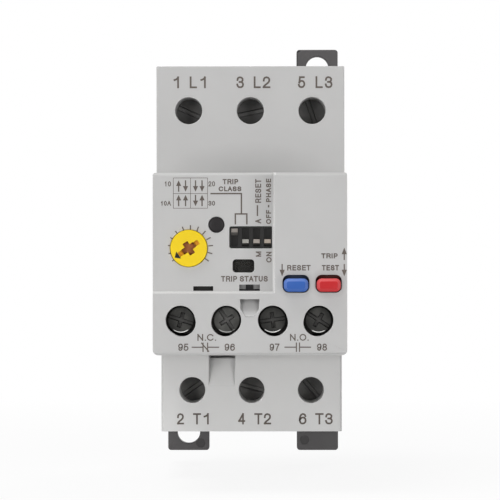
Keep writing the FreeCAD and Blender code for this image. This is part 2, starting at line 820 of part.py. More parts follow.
def control_board():
    """Circuit board behind the panel, stepped to leave the trip window and the buttons free."""
    edge = inner_half - frame_gap
    top = cover_top - wall - frame_gap
    foot = dial_z - pot_size / 2 - pot_margin
    step_x = dial_x + pot_size / 2 + pot_margin
    back = board_y + board_thick
    body = block(-edge, edge, board_y, back, board_bottom, top)
    return body.fuse(block(-edge, step_x, board_y, back, foot, board_bottom)).removeSplitter()


def board_components():
    """Controller, driver, capacitors and resistors soldered to the board."""
    back = board_y + board_thick
    centre = inner_half / 2
    parts = []
    for x, across in ((dip_x, chip_size), (-centre, driver_width)):
        parts.append(block(x - across / 2, x + across / 2, back, back + chip_thick, dip_z, dip_z + chip_size))
    for step in range(2):
        parts.append(rod(centre + step * can_pitch, board_y - can_height, dip_z + chip_size, can_radius,
                         can_height, BACK))
    for step in range(4):
        x = dip_x + dip_width / 2 + resistor_width + step * resistor_pitch
        parts.append(block(x, x + resistor_width, board_y - resistor_thick, board_y, dip_z - resistor_width,
                           dip_z + resistor_width))
    return Part.makeCompound(parts)


def standoffs():
    """Places of the pillars between the frame and the board."""
    edge = inner_half - frame_gap - standoff_half - past
    high = cover_top - wall - frame_gap - standoff_half - past
    low = dial_z - pot_size / 2 + standoff_half
    return [(-edge, high), (edge, high), (edge, board_bottom + standoff_half), (-edge, low)]


def mechanism_frame():
    """Inner chassis: plate, board pillars, legs on the case rim, pivot ears, coil cradle, carrier shelf."""
    edge = inner_half - frame_gap
    low = cover_bottom + wall + frame_gap
    high = cover_top - wall - frame_gap
    body = block(-edge, edge, frame_y, frame_back, low, high)
    adds = []
    for x, z in standoffs():
        adds.append(block(x - standoff_half, x + standoff_half, board_y + board_thick, frame_y,
                          z - standoff_half, z + standoff_half))
    for x in (-edge, edge - leg_size):
        for z in (low, high - leg_size):
            adds.append(block(x, x + leg_size, frame_y, -case_front - case_lip, z, z + leg_size))
    ear_x = hub_half + fit_gap
    for side in (1, -1):
        x0, x1 = sorted((lever_x + side * ear_x, lever_x + side * (ear_x + ear_thick)))
        ear_back = pivot_y + hub_radius + past
        adds.append(block(x0, x1, frame_y, ear_back, pivot_z - hub_radius, pivot_z + hub_radius))
        arm = yoke_half() + fit_gap
        x0, x1 = sorted((lever_x + side * arm, lever_x + side * (arm + cradle_thick)))
        lip0, lip1 = sorted((lever_x + side * (coil_radius + 4 * fit_gap), lever_x + side * arm))
        floor_z = coil_z() - yoke_height / 2
        adds.append(block(x0, x1, frame_y, yoke_back(), floor_z - cradle_thick, coil_z() + past))
        adds.append(block(lip0, lip1, ear_back, yoke_back(), floor_z - cradle_thick, floor_z))
    shelf_top = carrier_z - carrier_height / 2 - fit_gap
    adds.append(block(-carrier_half - past, carrier_half + past, frame_y, carrier_y + carrier_thick + past,
                      shelf_top - ledge_thick, shelf_top))
    cuts = [rod(lever_x - 2 * hub_half, pivot_y, pivot_z, pin_radius, 4 * hub_half, RIGHT)]
    slot_half = window_width / 2 + 4 * fit_gap
    cuts.append(block(lever_x - slot_half, lever_x + slot_half, frame_y - past, frame_back + past,
                      pivot_z - hub_radius - lever_thick, pivot_z + hub_radius))
    for step, x in enumerate(aux_places):
        tip = aux_shank_radius + 4 * fit_gap
        cuts.append(block(x - tip, x + tip, frame_y - past, frame_back + past, aux_z - tip, aux_z + tip))
        if step < 2:
            cuts.append(block(x - tongue_half(), x + tongue_half(), frame_y - past, frame_back + past,
                              tongue_z() - 2 * fit_gap, tongue_z() + strip_thick + 2 * fit_gap))
        else:
            stud = contact_half + 3 * fit_gap
            cuts.append(block(x - stud, x + stud, frame_y - past, frame_back + past, contact_z - stud,
                              contact_z + stud))
    for x in (reset_x, test_x):
        gap = stem_half + fit_gap
        cuts.append(block(x - gap, x + gap, frame_y - past, frame_back + past, stem_z - gap, stem_z + gap))
    return body.fuse(adds).cut(cuts).removeSplitter()


def coil_z():
    return pivot_z + plunger_arm


def coil_front():
    return pivot_y + coil_offset


def yoke_half():
    return coil_radius + 2 * fit_gap + yoke_thick


def yoke_back():
    return coil_front() + coil_span + fit_gap + yoke_thick


def trip_coil():
    """Bobbin and winding of the trip magnet, bored for its plunger."""
    bore = plunger_radius + bore_gap
    winding = coil_radius - coil_flange / 2
    profile = [(0, bore), (0, coil_radius), (coil_flange, coil_radius), (coil_flange, winding),
               (coil_span - coil_flange, winding), (coil_span - coil_flange, coil_radius),
               (coil_span, coil_radius), (coil_span, bore)]
    return turned(profile, Vector(lever_x, coil_front(), coil_z()), BACK)


def trip_yoke():
    """Soft-iron ring round the coil, open above and below."""
    front = coil_front() - fit_gap - yoke_thick
    low, high = coil_z() - yoke_height / 2, coil_z() + yoke_height / 2
    outer = block(lever_x - yoke_half(), lever_x + yoke_half(), front, yoke_back(), low, high)
    inside = yoke_half() - yoke_thick
    ring = outer.cut(block(lever_x - inside, lever_x + inside, front + yoke_thick, yoke_back() - yoke_thick,
                           low - past, high + past))
    bore = rod(lever_x, front - past, coil_z(), plunger_radius + bore_gap, yoke_thick + 2 * past, BACK)
    return ring.cut(bore)


def trip_plunger():
    """Plunger with a neck that the lever's fork embraces."""
    front = -neck_half - past
    back = coil_offset + plunger_entry
    profile = [(front, 0), (front, plunger_radius), (-neck_half, plunger_radius), (-neck_half, plunger_neck),
               (neck_half, plunger_neck), (neck_half, plunger_radius), (back, plunger_radius), (back, 0)]
    return turned(profile, Vector(lever_x, pivot_y, coil_z()), BACK)


def around_pivot(x, radius, degrees):
    """A point at a radius from the pivot, at an angle raised from straight ahead."""
    angle = math.radians(degrees)
    return Vector(x, pivot_y - radius * math.cos(angle), pivot_z + radius * math.sin(angle))


def trip_flag(x):
    """Curved plate about the pivot that rises into the trip window."""
    outer = pivot_y - inner_y - flag_gap
    inner = outer - flag_thick
    middle = (flag_low + flag_high) / 2
    arcs = [Part.Arc(*[around_pivot(x, radius, angle) for angle in (flag_low, middle, flag_high)]).toShape()
            for radius in (outer, inner)]
    ends = [Part.LineSegment(around_pivot(x, inner, angle), around_pivot(x, outer, angle)).toShape()
            for angle in (flag_low, flag_high)]
    outline = Part.Wire(Part.__sortEdges__(arcs + ends))
    return Part.Face(outline).extrude(Vector(window_width + 4 * fit_gap, 0, 0))


def trip_lever():
    """Bell crank: flag arm ahead, fork for the plunger above, finger for the contact carrier below."""
    x0, x1 = lever_x - lever_half, lever_x + lever_half
    hub = rod(lever_x - hub_half, pivot_y, pivot_z, hub_radius, 2 * hub_half, RIGHT)
    flag = trip_flag(lever_x - window_width / 2 - 2 * fit_gap)
    reach = pivot_y - inner_y - flag_gap - flag_thick / 2
    middle = (flag_low + flag_high) / 2
    rise = lever_thick / 2
    arm = side_profile([(pivot_y, pivot_z - rise), (pivot_y - reach, pivot_z - rise),
                        (pivot_y - reach, pivot_z + rise), (pivot_y, pivot_z + rise)], x0, x1)
    arm.rotate(Vector(0, pivot_y, pivot_z), RIGHT, -middle)
    finger = block(x0, x1, pivot_y - rise, pivot_y + rise, carrier_z - lever_half / 2, pivot_z)
    fork_half = plunger_neck + 2 * bore_gap + lever_thick
    fork = block(lever_x - fork_half, lever_x + fork_half, pivot_y - rise, pivot_y + rise, pivot_z,
                 coil_z() + plunger_neck)
    gap = plunger_neck + bore_gap
    fork = fork.cut(block(lever_x - gap, lever_x + gap, pivot_y - past, pivot_y + past,
                          coil_z() - plunger_neck - 2 * bore_gap, coil_z() + 2 * past))
    body = hub.fuse([flag, arm, finger, fork])
    return body.cut(rod(lever_x - 2 * hub_half, pivot_y, pivot_z, pin_radius + slide_gap, 4 * hub_half,
                        RIGHT)).removeSplitter()


def lever_pin():
    length = hub_half + fit_gap + ear_thick
    return rod(lever_x - length, pivot_y, pivot_z, pin_radius, 2 * length, RIGHT)


def bridge_centres():
    """X of the break contact bridge and of the make contact bridge."""
    return (aux_places[0] + aux_places[1]) / 2, (aux_places[2] + aux_places[3]) / 2


def contact_carrier():
    """Sliding bar that carries both contact bridges and is moved by the lever's finger."""
    low, high = carrier_z - carrier_height / 2, carrier_z + carrier_height / 2
    body = block(-carrier_half, carrier_half, carrier_y, carrier_y + carrier_thick, low, high)
    tab = block(reset_x - stem_half, reset_x + stem_half, carrier_y, carrier_y + reset_tab_thick, high,
                stem_z + stem_half)
    notch = block(lever_x - lever_half - 3 * fit_gap, lever_x + lever_half + 3 * fit_gap,
                  pivot_y - lever_thick, pivot_y + lever_thick, low - past, high + past)
    body = body.fuse(tab).cut(notch)
    break_x, make_x = bridge_centres()
    for x, mouth, inward in ((break_x, carrier_y + carrier_thick, -BACK), (make_x, carrier_y, BACK)):
        floor_y = mouth + inward.y * spring_pocket
        room = carrier_height / 2 - 2 * fit_gap
        pocket = block(x - room, x + room, min(mouth, floor_y), max(mouth, floor_y), carrier_z - room,
                       carrier_z + room)
        peg = rod(x, floor_y, carrier_z, peg_radius, spring_pocket + peg_length, -inward)
        body = body.cut(pocket).fuse(peg)
    return body.removeSplitter()


def contact_pad(x, y0, y1):
    """Square contact tip between two depths."""
    return block(x - contact_half, x + contact_half, min(y0, y1), max(y0, y1), contact_z - contact_half,
                 contact_z + contact_half)


def bridge(x, near_y, facing):
    """Contact bridge on its peg, with a tip at each end that faces the fixed contacts."""
    left = x - aux_pitch / 2
    y0, y1 = sorted((near_y, near_y + facing * bridge_thick))
    margin = contact_half + 2 * fit_gap
    bar = block(left - margin, left + aux_pitch + margin, y0, y1, carrier_z - bridge_height / 2,
                carrier_z + bridge_height / 2)
    bar = bar.cut(rod(x, y0 - past, carrier_z, peg_radius + fit_gap, bridge_thick + 2 * past, BACK))
    face = near_y + facing * bridge_thick
    tips = [contact_pad(tip_x, face, face + facing * tip_thick) for tip_x in (left, left + aux_pitch)]
    return bar.fuse(tips).removeSplitter()


def break_face():
    """Y of the closed break contacts' meeting faces."""
    return carrier_y + carrier_thick + bridge_gap + bridge_thick + tip_thick


def make_face():
    """Y of the make bridge's tips at rest."""
    return carrier_y - bridge_gap - bridge_thick - tip_thick


def contact_springs():
    """Two short springs that press the bridges away from the carrier."""
    break_x, make_x = bridge_centres()
    radius = peg_radius + fit_gap + contact_wire / 2
    length = spring_pocket + bridge_gap
    springs = []
    for x, floor_y, toward in ((break_x, carrier_y + carrier_thick - spring_pocket, BACK),
                               (make_x, carrier_y + spring_pocket, -BACK)):
        springs.append(spring(Vector(x, floor_y, carrier_z), toward, radius, length, contact_turns,
                              contact_wire))
    return Part.makeCompound(springs)


def tongue_half():
    return strip_width / 4 + 2 * fit_gap


def tongue_z():
    """Underside of the tongues that pass above the carrier."""
    return carrier_z + carrier_height / 2 + 4 * fit_gap


def aux_strip(step, x):
    """Fixed contact strip: threaded terminal plate in front of the frame and its contact."""
    high = strip_high if step > 1 else tongue_z() + strip_thick
    plate = block(x - strip_width / 2, x + strip_width / 2, strip_y, frame_y, strip_low, high)
    plate = plate.cut(rod(x, strip_y - past, aux_z, aux_shank_radius + slide_gap, strip_thick + 2 * past,
                          BACK))
    if step > 1:
        stud_end = make_face() - carrier_travel - slide_gap
        return plate.fuse(contact_pad(x, strip_y, stud_end)).removeSplitter()
    narrow = strip_width / 4
    leg_y = break_face() + tip_thick
    tongue = block(x - narrow, x + narrow, strip_y, leg_y + strip_thick, tongue_z(),
                   tongue_z() + strip_thick)
    leg = block(x - narrow, x + narrow, leg_y, leg_y + strip_thick, contact_z - contact_half, tongue_z())
    tip = contact_pad(x, break_face(), leg_y)
    return plate.fuse([tongue, leg, tip]).removeSplitter()


def aux_contact_strips():
    return Part.makeCompound([aux_strip(step, x) for step, x in enumerate(aux_places)])


def aux_screw(x):
    """Terminal screw with a combination drive."""
    tip = frame_y + aux_tip
    profile = [(0, 0), (0, aux_head_radius), (aux_head_length, aux_head_radius),
               (aux_head_length, aux_shank_radius), (tip - aux_head_y, aux_shank_radius),
               (tip - aux_head_y, 0)]
    body = turned(profile, Vector(x, aux_head_y, aux_z), BACK)
    slot = aux_drive_width / 2
    deep = aux_head_y + aux_drive_depth
    long_cut = block(x - 2 * aux_head_radius, x + 2 * aux_head_radius, aux_head_y - past, deep, aux_z - slot,
                     aux_z + slot)
    short_cut = block(x - slot, x + slot, aux_head_y - past, deep, aux_z - aux_shank_radius,
                      aux_z + aux_shank_radius)
    return body.cut([long_cut, short_cut])


def aux_clamp(x):
    """Captive clamp plate under the screw head, with flared lips above and below the head."""
    y0, y1 = aux_clamp_y, aux_clamp_y + aux_clamp_thick
    lip_y = y0 - aux_lip_height
    rise = aux_clamp_height / 2
    corners = []
    for side in (1, -1):
        lip = [(y1, rise), (y0, rise + aux_lip), (lip_y, rise + aux_lip_flare + aux_lip),
               (lip_y, rise + aux_lip_flare), (y0, rise)]
        corners += [(y, aux_z + side * z) for y, z in (lip if side > 0 else reversed(lip))]
    body = side_profile(corners, x - aux_clamp_width / 2, x + aux_clamp_width / 2)
    return body.cut(rod(x, y0 - past, aux_z, aux_shank_radius + slide_gap, aux_clamp_thick + 2 * past, BACK))


nodes = {
    "mounting_base": mounting_base(),
    "rail_latch": rail_latch(),
    "rail_latch_spring": rail_latch_spring(),
    "main_case": main_case(),
    "line_terminal_housing": line_terminal_housing(),
    "front_cover": front_cover(),
    "mechanism_frame": mechanism_frame(),
    "control_board": control_board(),
    "board_components": board_components(),
    "dial_knob": dial_knob(),
    "potentiometer": potentiometer(),
    "dip_switch_body": dip_switch_body(),
    "status_lens": status_lens(),
    "status_led": status_led(),
    "reset_button": push_button(reset_x, reset_width, reset_flange(), stem_end()),
    "reset_spring": button_spring(reset_x, reset_flange()),
    "test_button": push_button(test_x, test_width, test_flange(), stem_end()),
    "test_spring": button_spring(test_x, test_flange()),
    "trip_coil": trip_coil(),
    "trip_yoke": trip_yoke(),
    "trip_plunger": trip_plunger(),
    "trip_lever": trip_lever(),
    "lever_pin": lever_pin(),
    "contact_carrier": contact_carrier(),
    "nc_bridge": bridge(bridge_centres()[0], carrier_y + carrier_thick + bridge_gap, 1),
    "no_bridge": bridge(bridge_centres()[1], carrier_y - bridge_gap, -1),
    "contact_springs": contact_springs(),
    "aux_contact_strips": aux_contact_strips(),
    "transformer_coils": Part.makeCompound([transformer_coil(x) for x in poles]),
}
for number in (1, 2, 3, 4):
    nodes[f"dip_slider_{number}"] = dip_slider(number)
for number, x in enumerate(poles, 1):
    nodes[f"busbar_{number}"] = busbar(x)
    nodes[f"transformer_core_{number}"] = transformer_core(x)
    nodes[f"line_cage_{number}"] = cage(x, line_screw_height, line_tab_depth)
    nodes[f"line_screw_{number}"] = main_screw(x, line_screw_height, line_tab_depth)
    nodes[f"load_cage_{number}"] = cage(x, load_screw_height, load_tab_depth)
    nodes[f"load_screw_{number}"] = main_screw(x, load_screw_height, load_tab_depth)
for name, x in zip(aux_names, aux_places):
    nodes[f"aux_screw_{name}"] = aux_screw(x)
    nodes[f"aux_clamp_{name}"] = aux_clamp(x)
for name, shape in nodes.items():
    shape.exportStep(f"parts/{name}.step")
    print(name, len(shape.Solids), round(shape.Volume, 2), shape.isValid())
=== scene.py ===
from math import pi, radians

import bmesh
import bpy
import numpy as np
from mathutils import Matrix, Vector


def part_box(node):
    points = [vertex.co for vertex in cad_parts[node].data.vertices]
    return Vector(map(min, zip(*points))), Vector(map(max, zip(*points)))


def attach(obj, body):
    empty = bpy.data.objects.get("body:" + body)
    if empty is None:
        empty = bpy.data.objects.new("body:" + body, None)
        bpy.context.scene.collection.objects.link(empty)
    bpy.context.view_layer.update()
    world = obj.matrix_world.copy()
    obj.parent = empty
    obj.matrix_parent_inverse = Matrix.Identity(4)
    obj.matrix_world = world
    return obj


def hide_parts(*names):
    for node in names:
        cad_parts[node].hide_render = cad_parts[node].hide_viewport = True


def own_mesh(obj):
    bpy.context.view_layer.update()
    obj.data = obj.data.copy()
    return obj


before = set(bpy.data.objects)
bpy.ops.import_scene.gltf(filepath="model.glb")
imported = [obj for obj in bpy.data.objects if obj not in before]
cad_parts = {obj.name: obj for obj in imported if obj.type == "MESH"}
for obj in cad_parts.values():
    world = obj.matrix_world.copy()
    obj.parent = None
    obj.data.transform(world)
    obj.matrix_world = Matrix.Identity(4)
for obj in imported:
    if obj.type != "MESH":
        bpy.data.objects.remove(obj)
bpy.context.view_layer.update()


# Mounting base: the dark plate that screws to the panel or hooks on a 35 mm rail.
# Glass-filled thermoplastic, injection moulded with fine spark-eroded faces and small edge radii.
# Two diagonal lugs carry the screw holes, and the grey case snaps on to its front.

base_edge = 0.00025
same_place, flat_angle, rounded_angle, shaded_angle = 2e-6, radians(0.5), radians(40), radians(35)
pit_scale, flow_scale, rub_scale = 4200, 90, 700


def new_group(name, inputs, outputs):
    """An empty shader node group with its named sockets, and its two end nodes."""
    group = bpy.data.node_groups.new(name, "ShaderNodeTree")
    for label, kind, value in inputs:
        socket = group.interface.new_socket(label, in_out="INPUT", socket_type=kind)
        socket.default_value = value
    for label, kind in outputs:
        group.interface.new_socket(label, in_out="OUTPUT", socket_type=kind)
    return group, group.nodes.new("NodeGroupInput"), group.nodes.new("NodeGroupOutput")


def grouped(tree, group):
    """A node that places a node group in a material's tree."""
    node = tree.nodes.new("ShaderNodeGroup")
    node.node_tree = group
    return node


def model_place(tree):
    """The place of a surface point in the model, in metres."""
    return tree.nodes.new("ShaderNodeTexCoord").outputs["Object"]


def noise(tree, scale, detail, vector):
    """The value of a noise texture on the given vector."""
    node = tree.nodes.new("ShaderNodeTexNoise")
    node.inputs["Detail"].default_value = detail
    node.inputs["Scale"].default_value = scale
    tree.links.new(vector, node.inputs["Vector"])
    return node.outputs["Fac"]


def ranged(tree, value, low, high, to_low=0.0, to_high=1.0):
    """A value stretched so that low..high becomes to_low..to_high, and cut off outside."""
    node = tree.nodes.new("ShaderNodeMapRange")
    ends = (("From Min", low), ("From Max", high), ("To Min", to_low), ("To Max", to_high))
    for label, number in ends:
        node.inputs[label].default_value = number
    tree.links.new(value, node.inputs["Value"])
    return node.outputs["Result"]


def worked(tree, operation, first, second):
    """A math node on two values, each a socket or a plain number."""
    node = tree.nodes.new("ShaderNodeMath")
    node.operation = operation
    for socket, value in zip(node.inputs, (first, second)):
        if isinstance(value, (int, float)):
            socket.default_value = value
        else:
            tree.links.new(value, socket)
    return node.outputs[0]


def product(tree, first, second):
    """Two values multiplied."""
    return worked(tree, "MULTIPLY", first, second)


def mixed(tree, mask, first, second):
    """Two colours mixed by a mask; each is a socket or a plain colour."""
    node = tree.nodes.new("ShaderNodeMix")
    node.data_type = "RGBA"
    tree.links.new(mask, node.inputs["Factor"])
    for socket, value in ((node.inputs[6], first), (node.inputs[7], second)):
        if isinstance(value, tuple):
            socket.default_value = (*value, 1)
        else:
            tree.links.new(value, socket)
    return node.outputs[2]


# Grain: a moulded face is an even field of tiny pits, with slow drifts of tone where the melt flowed.
grain, grain_in, grain_out = new_group(
    "moulded grain",
    [("Colour", "NodeSocketColor", (0.5, 0.5, 0.5, 1)), ("Drift", "NodeSocketFloat", 0.04),
     ("Sheen Low", "NodeSocketFloat", 0.5), ("Sheen High", "NodeSocketFloat", 0.6)],
    [("Colour", "NodeSocketColor"), ("Roughness", "NodeSocketFloat"), ("Height", "NodeSocketFloat")])
grain_place = model_place(grain)
pits = noise(grain, pit_scale, 2.0, grain_place)
flow = ranged(grain, noise(grain, flow_scale, 4.0, grain_place), 0.3, 0.7, -1.0, 1.0)
drifted = worked(grain, "ADD", product(grain, flow, grain_in.outputs["Drift"]), 1.0)
tone = grain.nodes.new("ShaderNodeVectorMath")
tone.operation = "SCALE"
grain.links.new(grain_in.outputs["Colour"], tone.inputs[0])
grain.links.new(drifted, tone.inputs["Scale"])
pit_sheen = grain.nodes.new("ShaderNodeMapRange")
grain.links.new(pits, pit_sheen.inputs["Value"])
grain.links.new(grain_in.outputs["Sheen Low"], pit_sheen.inputs["To Min"])
grain.links.new(grain_in.outputs["Sheen High"], pit_sheen.inputs["To Max"])
grain.links.new(tone.outputs["Vector"], grain_out.inputs["Colour"])
grain.links.new(pit_sheen.outputs["Result"], grain_out.inputs["Roughness"])
grain.links.new(pits, grain_out.inputs["Height"])

# Wear and highlight: the mask is 1 on a narrow band along an outer edge, where handling polishes and pales
# the plastic; the pale colour there is also a painted highlight.
wear_and_highlight, wear_and_highlight_in, wear_and_highlight_out = new_group("edge wear and highlight", [("Width", "NodeSocketFloat", 0.0003)],
                                    [("Mask", "NodeSocketFloat")])
soft_normal = wear_and_highlight.nodes.new("ShaderNodeBevel")
soft_normal.samples = 4
wear_and_highlight.links.new(wear_and_highlight_in.outputs["Width"], soft_normal.inputs["Radius"])
true_normal = wear_and_highlight.nodes.new("ShaderNodeNewGeometry")
agreement = wear_and_highlight.nodes.new("ShaderNodeVectorMath")
agreement.operation = "DOT_PRODUCT"
wear_and_highlight.links.new(soft_normal.outputs["Normal"], agreement.inputs[0])
wear_and_highlight.links.new(true_normal.outputs["Normal"], agreement.inputs[1])
on_edge = ranged(wear_and_highlight, agreement.outputs["Value"], 0.98, 0.80)
rubbing = ranged(wear_and_highlight, noise(wear_and_highlight, rub_scale, 2.0, model_place(wear_and_highlight)), 0.35, 0.65, 0.5, 1.0)
wear_and_highlight.links.new(product(wear_and_highlight, on_edge, rubbing), wear_and_highlight_out.inputs["Mask"])

# Recess shade: the mask is 1 deep in a recess of the piece itself, darkening the colour as painted shade.
recess_shade, recess_shade_in, recess_shade_out = new_group("recess shade", [("Reach", "NodeSocketFloat", 0.002)],
                                       [("Mask", "NodeSocketFloat")])
hollow = recess_shade.nodes.new("ShaderNodeAmbientOcclusion")
hollow.samples = 8
hollow.only_local = True
recess_shade.links.new(recess_shade_in.outputs["Reach"], hollow.inputs["Distance"])
recess_shade.links.new(ranged(recess_shade, hollow.outputs["AO"], 0.80, 0.25), recess_shade_out.inputs["Mask"])


def new_material(name):
    """A node material with its tree and shader."""
    material = bpy.data.materials.new(name)
    material.use_nodes = True
    return material, material.node_tree, material.node_tree.nodes["Principled BSDF"]


def bumped(tree, shader, height, distance):
    """A bump of the given depth in metres, from a height value into the shader's normal."""
    bump = tree.nodes.new("ShaderNodeBump")
    bump.inputs["Distance"].default_value = distance
    bump.inputs["Strength"].default_value = 0.5
    tree.links.new(height, bump.inputs["Height"])
    tree.links.new(bump.outputs["Normal"], shader.inputs["Normal"])


def tinted(tree, paint, tint):
    """A paint with one zone in another colour; tint is a function of the tree that gives mask and colour."""
    if not tint:
        return paint
    zone, zone_colour = tint(tree)
    return mixed(tree, zone, paint, zone_colour)


def plastic(name, colour, worn_and_lit, sheen, drift, pit_depth, gloss=0.5, hollow_shade=None, reach=0.002, tint=None):
    """A moulded plastic: grain and drift, pale worn and lit edges and shaded recesses, each from its group.

    The edge colour is wear with a painted highlight, the recess colour painted shade, and sheen is the
    lowest and highest roughness.
    """
    material, tree, shader = new_material(name)
    face = grouped(tree, grain)
    face.inputs["Colour"].default_value = (*colour, 1)
    face.inputs["Drift"].default_value = drift
    face.inputs["Sheen Low"].default_value, face.inputs["Sheen High"].default_value = sheen
    paint = mixed(tree, grouped(tree, wear_and_highlight).outputs["Mask"], face.outputs["Colour"], worn_and_lit)
    paint = tinted(tree, paint, tint)
    if hollow_shade:
        in_shade = grouped(tree, recess_shade)
        in_shade.inputs["Reach"].default_value = reach
        paint = mixed(tree, in_shade.outputs["Mask"], paint, hollow_shade)
    tree.links.new(paint, shader.inputs["Base Color"])
    tree.links.new(face.outputs["Roughness"], shader.inputs["Roughness"])
    shader.inputs["Specular IOR Level"].default_value = gloss
    bumped(tree, shader, face.outputs["Height"], pit_depth)
    return material


def smoothed(mesh):
    """Shades a mesh smooth, apart from its sharp edges."""
    mesh.polygons.foreach_set("use_smooth", np.ones(len(mesh.polygons), dtype=bool))
    mesh.set_sharp_from_angle(angle=shaded_angle)


def placed(mesh, material, body):
    """A mesh as a piece of the same name at the origin, with its material, riding on a body of the frame."""
    mesh.materials.clear()
    mesh.materials.append(material)
    piece = bpy.data.objects.new(mesh.name, mesh)
    bpy.context.scene.collection.objects.link(piece)
    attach(piece, body)
    return piece


def moulded(node, body, material, radius, crowded=None, turn=0.0):
    """A copy of a CAD solid: triangles merged, flat faces joined and sharp edges rounded.

    Edges whose middle lies in the crowded box (x0, x1, z0, z1 in mm) stay sharp, because the radius
    doesn't fit there. A turned part may be turned about its own Y axis by some degrees. The attribute
    from_axis is each point's distance from that axis, in metres.
    """
    shape = bmesh.new()
    shape.from_mesh(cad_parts[node].data)
    bmesh.ops.remove_doubles(shape, verts=shape.verts, dist=same_place)
    bmesh.ops.dissolve_limit(shape, angle_limit=flat_angle, verts=shape.verts, edges=shape.edges)
    centre = np.mean(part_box(node), axis=0)
    if turn:
        turning = Matrix.Rotation(radians(turn), 3, "Y")
        bmesh.ops.rotate(shape, cent=centre, matrix=turning, verts=shape.verts)
    weight = shape.edges.layers.float.new("bevel_weight_edge")
    for edge in shape.edges:
        middle = (edge.verts[0].co + edge.verts[1].co) / 2 * 1000
        inside = crowded and crowded[0] < middle.x < crowded[1] and crowded[2] < middle.z < crowded[3]
        edge[weight] = float(edge.is_manifold and edge.calc_face_angle() > rounded_angle and not inside)
    mesh = bpy.data.meshes.new(node + "_moulding")
    shape.to_mesh(mesh)
    shape.free()
    smoothed(mesh)
    place = np.empty(len(mesh.vertices) * 3)
    mesh.vertices.foreach_get("co", place)
    from_axis = np.hypot(place[0::3] - centre[0], place[2::3] - centre[2])
    mesh.attributes.new("from_axis", "FLOAT", "POINT").data.foreach_set("value", from_axis)
    piece = placed(mesh, material, body)
    rounding = piece.modifiers.new("edge radius", "BEVEL")
    rounding.width = radius
    rounding.segments = 2
    rounding.limit_method = "WEIGHT"
    rounding.use_clamp_overlap = False
    rounding.harden_normals = True
    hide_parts(node)
    return piece


dark_finish = dict(sheen=(0.5, 0.62), drift=0.08, pit_depth=2e-5)
dark_plastic = plastic("dark base plastic", (0.082, 0.078, 0.079), (0.13, 0.128, 0.128), **dark_finish,
                       gloss=0.3, hollow_shade=(0.03, 0.03, 0.03))
moulded("mounting_base", "root", dark_plastic, base_edge)


# Rail latch: the sprung slide at the foot of the base that locks behind the lower lip of the rail.
# Same dark plastic as the base; the round marks on both lower tabs were left by the mould's ejector pins.
# A compression spring of drawn wire pushes the latch up.

latch_edge, tab_face = 0.0002, -3.0
mark_disc, mark_rim, mark_foot = tab_face - 0.02, tab_face - 0.07, tab_face + 0.02
spring_wire, turn_points, wire_points = 0.5, 28, 12
stain_scale, ring_scale, streak_depth = 420, 9000.0, 4e-6


def tidied(mesh):
    """Merges doubled points of a mesh, drops faces that have shrunk to nothing and turns normals outwards."""
    shape = bmesh.new()
    shape.from_mesh(mesh)
    bmesh.ops.remove_doubles(shape, verts=shape.verts, dist=1e-7)
    bmesh.ops.dissolve_degenerate(shape, edges=shape.edges, dist=1e-8)
    bmesh.ops.recalc_face_normals(shape, faces=shape.faces)
    shape.to_mesh(mesh)
    shape.free()


def grid_mesh(name, points):
    """A mesh on a grid of points (rows, columns, 3) whose columns close on themselves.

    Quads join neighbours; doubled points at seams and poles are merged.
    """
    rows, columns = points.shape[:2]
    index = np.arange(rows * columns).reshape(rows, columns)
    index = np.column_stack((index, index[:, :1]))
    quads = np.stack((index[:-1, :-1], index[:-1, 1:], index[1:, 1:], index[1:, :-1]), axis=-1)
    mesh = bpy.data.meshes.new(name)
    mesh.from_pydata(points.reshape(-1, 3).tolist(), [], quads.reshape(-1, 4).tolist())
    tidied(mesh)
    smoothed(mesh)
    return mesh


def revolved(name, centre, profile, columns=64):
    """A turned form about the Y axis through centre (x, z): each profile row (radius, y) swept round."""
    angle = np.linspace(0, 2 * pi, columns, endpoint=False)
    radius, y = np.asarray(profile).T[:, :, None]
    x, z = centre[0] + radius * np.cos(angle), centre[1] + radius * np.sin(angle)
    return grid_mesh(name, np.stack((x, y + 0 * angle, z), axis=-1) / 1000)


moulded("rail_latch", "rail_latch", dark_plastic, latch_edge)
mark_profile = [(0, mark_disc), (1.05, mark_disc), (1.1, mark_rim), (1.2, mark_rim), (1.25, mark_foot),
                (0, mark_foot)]
mark_plastic = plastic("pin mark plastic", (0.060, 0.057, 0.058), (0.07, 0.067, 0.067), **dark_finish,
                       gloss=0.2)
for name, body, centre in (("latch_pin_mark", "rail_latch", (13.61, -50.33)),
                           ("base_pin_mark", "root", (-13.9, -51.1))):
    placed(revolved(name, centre, mark_profile), mark_plastic, body)


def spring_mesh(name, start, axis, radius, length, turns):
    """A compression spring: a round wire swept along a helix whose first and last turns lie closer.

    The height along the axis eases in and out, and the wire's ends shrink to a point and so are closed.
    """
    share = np.linspace(0, 1, turns * turn_points + 1)
    eased = share - 0.5 * np.sin(2 * pi * share) / (2 * pi)
    height = spring_wire / 2 + (length - spring_wire) * eased
    angle = 2 * pi * turns * share
    path = np.stack((radius * np.cos(angle), radius * np.sin(angle), height), axis=-1)
    outward = np.stack((np.cos(angle), np.sin(angle), 0 * angle), axis=-1)
    upward = np.array([0.0, 0.0, 1.0])
    around = np.linspace(0, 2 * pi, wire_points, endpoint=False)
    thick = np.full(len(share), spring_wire / 2)
    thick[[0, -1]] = 0
    ring = np.cos(around)[None, :, None] * outward[:, None] + np.sin(around)[None, :, None] * upward
    points = path[:, None] + thick[:, None, None] * ring
    order = [0, 1, 2] if axis == "Z" else [0, 2, 1]
    return grid_mesh(name, (points[..., order] + start) / 1000)


# Metal marks: fine streaks along the drawing or turning direction, and broad stains in the plating.
marks, marks_in, marks_out = new_group("metal marks", [("Place", "NodeSocketVector", (0, 0, 0))],
                                       [("Streak", "NodeSocketFloat"), ("Stain", "NodeSocketFloat")])
stains = ranged(marks, noise(marks, stain_scale, 4.0, model_place(marks)), 0.4, 0.65)
marks.links.new(noise(marks, 1.0, 3.0, marks_in.outputs["Place"]), marks_out.inputs["Streak"])
marks.links.new(stains, marks_out.inputs["Stain"])


